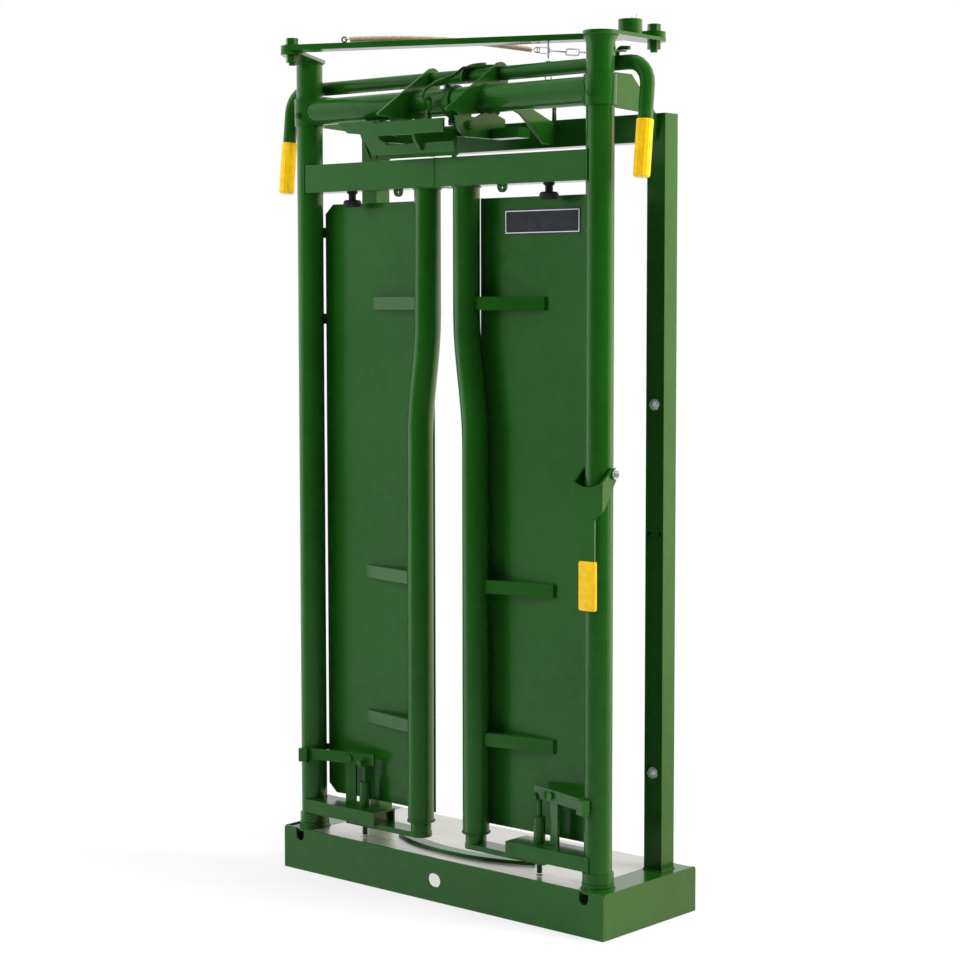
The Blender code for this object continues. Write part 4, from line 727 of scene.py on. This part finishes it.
def studio():
    """White surroundings with a dark gap towards the viewer's side, soft boxes and a white floor."""
    world = bpy.data.worlds.new("studio")
    bpy.context.scene.world = world
    world.use_nodes = True
    world.node_tree.nodes.clear()
    graph = Graph(world.node_tree)
    visible, glossy = ray_kinds(graph)
    bright, tint = reflected_light(graph, graph.add("ShaderNodeTexCoord", None, None, "Generated"))

    def background(colour, strength):
        return graph.add("ShaderNodeBackground", None, {"Color": colour, "Strength": strength})

    plain = background((*WHITE, 1.0), AMBIENT)
    lit = graph.add("ShaderNodeMixShader", None, {0: glossy, 1: plain, 2: background(tint, bright)})
    white = background((*WHITE, 1.0), 1.0)
    backed = graph.add("ShaderNodeMixShader", None, {0: visible, 1: lit, 2: white})
    graph.add("ShaderNodeOutputWorld", None, {"Surface": backed})

    softbox("left_box", place=(-2.2, -3.0, 2.6), target=(0, 0, 1.0), width=2.2, height=2.6, watts=150)
    softbox("right_box", place=(3.4, 1.3, 2.6), target=(0, 0.1, 1.0), width=1.8, height=2.6, watts=205)
    softbox("top_box", place=(0.3, 0.2, 5.0), target=(0, 0, 0.8), width=2.6, height=2.0, watts=115)

    def square(bm):
        bmesh.ops.create_grid(bm, x_segments=1, y_segments=1, size=FLOOR_HALF)

    floor = solid("studio_floor", square, white_floor(), False)
    floor.data.transform(Matrix.Translation((0, 0, -FLOOR_DROP)))


def white_floor():
    """A pale floor that is mostly white to the camera and to reflections, and keeps the soft shadow."""
    material, graph = blank_material("studio_floor_white")
    visible, glossy = ray_kinds(graph)
    place = graph.add("ShaderNodeTexCoord", None, None, "Object")
    away = graph.add("ShaderNodeVectorMath", {"operation": "LENGTH"}, {0: place}, "Value")
    shown_white = FLOOR_WHITE_NEAR + away.between(*SHADOW_ZONE) * (1.0 - FLOOR_WHITE_NEAR)
    near = 1.0 - away.between(*NEAR_ZONE)
    back = graph.add("ShaderNodeVectorMath", {"operation": "SCALE"},
                     {0: graph.add("ShaderNodeNewGeometry", None, None, "Incoming"), "Scale": -1.0})
    far_light, tint = reflected_light(graph, back)
    near_light = NEAR_GLOW + NEAR_GLOW_SHARE * far_light
    share = visible * shown_white + glossy
    strength = visible + glossy * (near * near_light + (1.0 - near) * far_light)
    plain = graph.add("ShaderNodeBsdfDiffuse", None, {"Color": FLOOR_GREY})
    glow = graph.add("ShaderNodeEmission", None,
                     {"Color": graph.mix(visible, tint, WHITE), "Strength": strength})
    graph.add("ShaderNodeOutputMaterial", None,
              {"Surface": graph.add("ShaderNodeMixShader", None, {0: share, 1: plain, 2: glow})})
    return material


# ---------------------------------------------------------------- the solids' finish


def softened_tree():
    """Merges a solid's loose triangles and shades its round faces smooth and its corners sharp."""
    tree, graph, given = geometry_tree("solid_shading", {"Corner Angle": math.radians(CORNER_DEGREES)})
    merged = graph.add("GeometryNodeMergeByDistance", None,
                       {"Geometry": given["Geometry"], "Distance": MERGE_DISTANCE})
    plain = graph.add("GeometryNodeRemoveAttribute", None, {"Geometry": merged, "Name": "custom_normal"})
    smooth = graph.add("GeometryNodeSetShadeSmooth", {"domain": "FACE"},
                       {"Geometry": plain, "Shade Smooth": True})
    angle = graph.add("GeometryNodeInputMeshEdgeAngle")
    flat = graph.add("FunctionNodeCompare", {"data_type": "FLOAT", "operation": "LESS_THAN"},
                     {0: angle, 1: given["Corner Angle"]})
    return ended(tree, graph.add("GeometryNodeSetShadeSmooth", {"domain": "EDGE"},
                                 {"Geometry": smooth, "Shade Smooth": flat}))


SLOT_FINISHES = {"dark_green_paint": PAINT, "zinc_plate": ZINC, "bare_floor_plate": MILL_SHEET,
                 "yellow_vinyl": VINYL, "black_rubber": RUBBER, "spring_steel": SPRING_ZINC}
PAINTED_NODES = ("link_bolt_left", "link_bolt_right", "keeper_link", "latch_pin_left", "latch_pin_right")
FINE_EDGES = {"keeper_link": 0, "return_spring": 0,
              "door_sheet_left": SHEET_EDGE_WIDTH, "door_sheet_right": SHEET_EDGE_WIDTH,
              "latch_pin_left": PIN_EDGE_WIDTH, "latch_pin_right": PIN_EDGE_WIDTH}


def dress_solids():
    shading = softened_tree()
    for name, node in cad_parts.items():
        old = node.data.materials[0].name.split(".")[0] if node.data.materials else ""
        new = PAINT if name in PAINTED_NODES else SLOT_FINISHES.get(old, PAINT)
        for slot in node.material_slots:
            slot.material = new
        if not node.material_slots:
            node.data.materials.append(new)
        node.modifiers.new("merge", "WELD").merge_threshold = MERGE_DISTANCE
        width = FINE_EDGES.get(name, EDGE_WIDTH)
        if width:
            edges_rounded(node, width)
        node.modifiers.new("shade", "NODES").node_group = shading
        node.modifiers.new("even", "WEIGHTED_NORMAL").keep_sharp = True


# ---------------------------------------------------------------- places worked out from the solids


def ends(name):
    low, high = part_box(name)
    return Vector(low), Vector(high)


def middle(name):
    low, high = ends(name)
    return (low + high) / 2


POST = middle("post_socket_right")
TUBE = middle("cross_tube")
RAIL_TOP = ends("post_socket_right")[0].z
LEFT_PIVOT = middle("link_bolt_left")
RIGHT_PIVOT = middle("link_bolt_right")
LINK_LOW = ends("link_bar")[0]
SHAFT = Vector((0.0, POST.y + SHAFT_BEHIND_POSTS, ends("release_shaft")[1].z - SHAFT_BELOW_TAB_TOP))


def along_link(distance, aside, z):
    """A point this far along the link bar from the left pivot and this far behind its middle."""
    way = (RIGHT_PIVOT - LEFT_PIVOT).xy.normalized()
    place = LEFT_PIVOT.xy + way * distance + Vector((-way.y, way.x)) * aside
    return Vector((place.x, place.y, z))


def section(low, high, axis, place):
    """The corners of a box's section square to an axis, at one place on it."""
    first, second = [i for i in range(3) if i != axis]
    loop = []
    for a, b in ((0, 0), (1, 0), (1, 1), (0, 1)):
        point = Vector((place, place, place))
        point[first] = (low, high)[a][first]
        point[second] = (low, high)[b][second]
        loop.append(point)
    return loop


def circle_line(centre, radius, axis, start=0.0, sweep=360.0, count=32):
    """Points on a circle square to X, Y or Z; angles in degrees."""
    first, second = [i for i in range(3) if i != axis]
    points = []
    for i in range(count + (sweep < 360)):
        turn = math.radians(start + sweep * i / count)
        point = Vector(centre)
        point[first] += radius * math.cos(turn)
        point[second] += radius * math.sin(turn)
        points.append(point)
    return points


# ---------------------------------------------------------------- weld beads


def ring(centre, radius, axis):
    """One closed, round line for a bead."""
    return circle_line(centre, radius, axis), True


def upright_line(x, y, low, high):
    """One open, vertical line for a bead."""
    return [Vector((x, y, low)), Vector((x, y, high))], False


def frame_welds():
    lines = []
    beam_low, beam_high = ends("rear_beam")
    for side, name in SIDES:
        saddle = [Vector((side * (POST.x - math.sqrt(SLEEVE_RADIUS**2 - (p.y - TUBE.y)**2)), p.y, p.z))
                  for p in circle_line(TUBE, TUBE_RADIUS, 0)]
        lines.append((saddle, True))
        low, high = ends("shaft_bracket_" + name)
        lines += [ring((x, TUBE.y, TUBE.z), TUBE_RADIUS + BRACKET_RING_LIFT, 0) for x in (low.x, high.x)]
        low, high = ends("rear_upright_" + name)
        lines.append((section(low, high, 2, RAIL_TOP), True))
        lines.append((section(beam_low, beam_high, 0, side * beam_high.x), True))
        low, high = ends("side_gusset_" + name)
        for x in (low.x, high.x):
            lines.append(upright_line(x, low.y, high.z - GUSSET_FRONT_HEIGHT, high.z - PLATE_TOP_STOP))
            lines.append(upright_line(x, high.y, low.z + GUSSET_LOW_STOP, beam_high.z - GUSSET_BEAM_STOP))
        low, high = ends("post_socket_" + name)
        lines.append(ring((side * POST.x, POST.y, low.z), (high.x - low.x) / 2, 2))
    for place in CHEEK_PLACES:
        for x in (place - CHEEK_HALF, place + CHEEK_HALF):
            arc = circle_line((x, TUBE.y, TUBE.z), TUBE_RADIUS + CHEEK_RING_LIFT, 0, *CHEEK_ARC)
            lines.append((arc, False))
    low, high = ends("center_brace")
    lines += [upright_line(x, high.y, low.z + BRACE_LOW_STOP, high.z - PLATE_TOP_STOP) for x in (low.x, high.x)]
    return lines


def door_welds(side, name):
    lines = []
    low, high = ends("top_arm_" + name)
    low.z = high.z - ARM_HEIGHT
    joint, end = (high.x, low.x) if side > 0 else (low.x, high.x)
    lines.append((section(low, high, 0, joint - side * ARM_JOINT_INSET), True))
    inset = Vector((0.0, ARM_CAP_INSET, ARM_CAP_INSET))
    lines.append((section(low + inset, high - inset, 0, end), True))
    bar_low, bar_high = ends("neck_bar_" + name)
    inner, outer = (bar_low.x, bar_high.x) if side > 0 else (bar_high.x, bar_low.x)
    top_x, low_x = inner + side * TUBE_RADIUS, outer - side * TUBE_RADIUS
    lines.append(ring((top_x, POST.y, low.z), TUBE_RADIUS, 2))
    lines.append(ring((low_x, POST.y, bar_low.z + FOOT_RING_RISE), TUBE_RADIUS - FOOT_RING_INSET, 2))
    for number in (1, 2, 3):
        low, high = ends("sheet_strap_%d_%s" % (number, name))
        lines.append(upright_line(high.x if side > 0 else low.x, high.y, low.z, high.z))
        root = (low_x if high.z < BAR_BEND_HEIGHT else top_x) + side * TUBE_RADIUS
        for z in (low.z, high.z):
            bead = [Vector((root + side * outward, POST.y + back, z)) for outward, back in STRAP_BEAD_ENDS]
            lines.append((bead, False))
    if side < 0:
        arm_low = ends("link_arm_left")[0].z
        lines.append(ring((-POST.x, POST.y, arm_low), TUBE_RADIUS + LINK_ARM_RING_LIFT, 2))
    else:
        top = Vector((POST.x, POST.y, ends("post_right")[1].z))
        lines.append((circle_line(top, TUBE_RADIUS + FLANGE_RING_LIFT, 2, *FLANGE_ARC), False))
    return lines


# ---------------------------------------------------------------- pieces


def carried(piece, body):
    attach(piece, body)
    return piece


def strung(name, lines, tree, sizes, body):
    """A tree's shape along lines of points, as a piece that rides on a body."""
    return carried(grown(lines_object(lines), tree, sizes, name), body)


def welds():
    tree = bead_tree(PAINT)
    bodies = {"frame": frame_welds(), "door_right": door_welds(1, "right"), "door_left": door_welds(-1, "left")}
    for body, lines in bodies.items():
        strung("weld_beads_" + body, lines, tree, {}, body)


def bolts(name, tree, rows, body):
    """Bolts at (place, direction, size) rows, as one piece."""
    return carried(grown(points_object(rows), tree, {}, name), body)


def fasteners():
    bright = bolt_tree(ZINC, "zinc_bolts")
    blue = bolt_tree(BLUE_ZINC, "blue_bolts", stud=BLUE_STUD)
    painted = bolt_tree(PAINT, "painted_bolts", stud=PAINTED_STUD)
    low, high = ends("rear_upright_right")
    centre = (low.x + high.x) / 2
    front, back = (0, -1, 0), (0, 1, 0)
    rows = []
    for side in (1, -1):
        for height in BOLT_HEIGHTS:
            rows.append(((side * centre, low.y, height), front, UPRIGHT_BOLT_SIZE))
            rows.append(((side * centre, high.y, height), back, UPRIGHT_BOLT_SIZE))
    bolts("upright_bolts", bright, rows, "frame")

    low, high = ends("tube_clamp")
    x, z = (low.x + high.x) / 2, low.z + CLAMP_EAR
    top = (x, TUBE.y - CLAMP_TOP_FORWARD, high.z - CLAMP_TOP_DROP)
    rows = [((x, TUBE.y - CLAMP_EAR, z), front, SMALL_BOLT_SIZE),
            ((x, TUBE.y + CLAMP_EAR, z), back, SMALL_BOLT_SIZE),
            (top, CLAMP_TOP_WAY, SMALL_BOLT_SIZE)]
    bolts("clamp_bolts", blue, rows, "frame")

    rows = []
    y, z = TUBE.y - PIVOT_FORWARD, TUBE.z - PIVOT_DROP
    for outward, name, cheek in ((-1, "left", CHEEK_PLACES[0]), (1, "right", CHEEK_PLACES[1])):
        low, high = ends("shaft_bracket_" + name)
        inner_x = low.x if outward > 0 else high.x
        rows.append(((cheek + outward * CHEEK_HALF, y, z), (outward, 0, 0), PIVOT_BOLT_SIZE))
        rows.append(((inner_x, y, z), (-outward, 0, 0), PIVOT_BOLT_SIZE))
    bolts("lock_pivot_bolts", painted, rows, "frame")

    place = (SHEET_BOLT_X, ends("sheet_strap_1_left")[1].y, SHEET_BOLT_Z)
    bolts("sheet_bolt", blue, [(place, front, SMALL_BOLT_SIZE)], "door_left")
    high = ends("lever_yoke")[1]
    place = (high.x - LEVER_BOLT_SUNK, POST.y, high.z - LEVER_BOLT_DROP)
    bolts("lever_bolt", bright, [(place, (1, 0, 0), LEVER_BOLT_SIZE)], "lever")
    rows = [((side * POST.x, POST.y - SLEEVE_RADIUS, TUBE.z - SET_SCREW_DROP), front, SET_SCREW_SIZE)
            for side in (1, -1)]
    bolts("collar_set_screws", painted, rows, "frame")


def bare_plate():
    """The name plate on the right door, left bare: a black face with a thin pale line round it."""
    x0, z0 = PLATE_LOW
    x1, z1 = PLATE_HIGH
    sheet_y = ends("sheet_strap_1_right")[1].y
    middle_place = Vector(((x0 + x1) / 2, sheet_y - PLATE_THICKNESS / 2, (z0 + z1) / 2))
    size = Vector((x1 - x0, PLATE_THICKNESS, z1 - z0))

    def slab(bm):
        bmesh.ops.create_cube(bm, size=1.0)
        for vert in bm.verts:
            vert.co = middle_place + vert.co * size

    def line(bm):
        y = sheet_y - PLATE_THICKNESS - BORDER_LIFT
        loops = []
        for inset in (BORDER_INSET, BORDER_INSET + BORDER_WIDTH):
            low_x, low_z, high_x, high_z = x0 + inset, z0 + inset, x1 - inset, z1 - inset
            corners = ((low_x, low_z), (high_x, low_z), (high_x, high_z), (low_x, high_z))
            loops.append([bm.verts.new((x, y, z)) for x, z in corners])
        for k in range(4):
            following = (k + 1) % 4
            bm.faces.new((loops[0][k], loops[0][following], loops[1][following], loops[1][k]))

    plate = edges_rounded(solid("bare_plate", slab, PLATE_ENAMEL, False), PLATE_EDGE_WIDTH)
    carried(plate, "door_right")
    border = solid("bare_plate_line", line, PLATE_BORDER, False)
    border.modifiers.new("thicken", "SOLIDIFY").thickness = BORDER_THICKNESS
    carried(border, "door_right")


def spring():
    """The close-wound spring with its hook and tail, in one wire; gives the place where the chain starts."""
    start = along_link(SPRING_START, SPRING_START_ASIDE, LINK_LOW.z + LINK_THICKNESS + SPRING_RISE)
    end = along_link(SPRING_START + SPRING_LENGTH, SPRING_END_ASIDE, LINK_LOW.z - SPRING_FALL)
    axis = (end - start).normalized()
    across = axis.cross(Vector((0, 0, 1))).normalized()
    up = across.cross(axis)
    points = [start + axis * along + across * aside for along, aside in SPRING_HOOK]
    count = SPRING_TURNS * SPRING_POINTS
    for i in range(count + 1):
        turn = 2 * math.pi * i / SPRING_POINTS
        share = i / count
        lift = SPRING_BOW * math.sin(math.pi * share) - SPRING_DIP * share
        centre = start.lerp(end, share) + Vector((0, 0, lift))
        points.append(centre + (across * math.cos(turn) + up * math.sin(turn)) * SPRING_RADIUS)
    tail = end - Vector((0, 0, SPRING_DIP))
    points.append(tail + axis * SPRING_TAIL)
    for turn in map(math.radians, SPRING_EYE_DEGREES):
        along = SPRING_EYE_PLACE - SPRING_EYE_RADIUS * math.cos(turn)
        points.append(tail + axis * along + up * SPRING_EYE_RADIUS * math.sin(turn))
    wound = strung("closed_wound_spring", [(points, False)], wire_tree(SPRING_ZINC),
                   {"Wire Radius": SPRING_WIRE, "Sides": 8}, "link")
    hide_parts("return_spring")
    return tail + axis * (SPRING_EYE_PLACE + SPRING_EYE_RADIUS)


def chain(start):
    """Six links from the spring to the shaft's hook, and two that hang from the chain."""
    tree = chain_tree(ZINC)
    hook = Vector((POST.x, SHAFT.y, SHAFT.z)) + Vector(CHAIN_END)
    sag = [start.lerp(hook, share) - Vector((0, 0, CHAIN_SAG * math.sin(math.pi * share)))
           for share in CHAIN_SHARES]
    strung("spring_chain", [(sag, False)], tree, {"First Turn": math.pi / 2}, "link")
    hang = start.lerp(hook, TAIL_SHARE)
    tail = [hang + Vector((0, 0, TAIL_RISE)), hang - Vector((0, 0, TAIL_DROP))]
    sizes = {"First Turn": TAIL_TURN + math.pi / 2, "Link Length": TAIL_LINK_LENGTH}
    strung("chain_tail", [(tail, False)], tree, sizes, "link")


def shaft_hook():
    """The bent rod welded to the shaft that holds the chain."""
    start = Vector((POST.x, SHAFT.y, SHAFT.z)) + Vector(HOOK_ROD_START)
    points = rounded_line([start + Vector((outward, 0, up)) for outward, up in HOOK_ROD_PATH], HOOK_ROD_CORNER)
    strung("shaft_hook", [(points, False)], wire_tree(PAINT), {"Wire Radius": HOOK_ROD_RADIUS}, "shaft")


def crank_root():
    """The thick end of the crank rod, welded along the shaft's top and curled over its front."""
    points = rounded_line([SHAFT + Vector(offset) for offset in CRANK_PATH], CRANK_CORNER)
    strung("crank_root", [(points, False)], wire_tree(PAINT), {"Wire Radius": CRANK_RADIUS, "Sides": 16},
           "shaft")


def grips():
    """Dipped grips with a rolled top edge and a rounded closed end."""
    lean = Vector(GRIP_LEAN).normalized()
    for name in ("left", "right"):
        low, high = ends("grip_" + name)
        radius = (high.x - low.x) / 2
        length = ((high.z - low.z) - 2 * radius * abs(lean.y)) / abs(lean.z)
        start = (low + high) / 2 - lean * (length / 2)
        profile = [(along, radius + rise) for along, rise in GRIP_ROLLED_EDGE]
        straight = length - GRIP_EDGE_LENGTH - GRIP_ROUNDING
        for k in range(GRIP_RINGS):
            profile.append((GRIP_EDGE_LENGTH + straight * k / (GRIP_RINGS - 1), radius - GRIP_WAVE * (k % 2)))
        for turn in map(math.radians, GRIP_END_DEGREES):
            profile.append((length - GRIP_ROUNDING * (1 - math.sin(turn)),
                            radius - GRIP_ROUNDING * (1 - math.cos(turn))))

        def shape(bm, start=start, profile=profile):
            turned(bm, start, lean, profile, GRIP_SIDES, GRIP_FLUTES, GRIP_FLUTE_DEPTH)

        piece = carried(solid("dipped_grip_" + name, shape, VINYL), "shaft")
        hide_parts("grip_" + name)


def cotter():
    """The two prongs of the cotter pin on the right arm's boss."""
    boss = Vector((POST.x + BOSS_OUTWARD, POST.y + BOSS_BEHIND, ends("link_arm_right")[1].z))
    prongs = [([boss + Vector(foot), boss + Vector(tip)], False) for foot, tip in COTTER_PRONGS]
    strung("boss_cotter", prongs, wire_tree(ZINC), {"Wire Radius": COTTER_RADIUS, "Sides": 8}, "door_right")


def rocker_heads():
    """Round bolt heads on the inner ends of the foot latches."""
    tree = bolt_tree(PAINT, "round_bolts", sides=20, stud=0.0)
    for _, name in SIDES:
        low, high = ends("latch_pin_" + name)
        z = middle("latch_rocker_" + name).z - PIN_BOLT_DROP
        place = ((low.x + high.x) / 2, low.y - PIN_BOLT_FORWARD, z)
        bolts("pin_bolt_" + name, tree, [(place, (0, -1, 0), PIN_BOLT_SIZE)], "rocker_" + name)


camera()
studio()
dress_solids()
welds()
fasteners()
bare_plate()
chain(spring())
shaft_hook()
crank_root()
grips()
cotter()
rocker_heads()
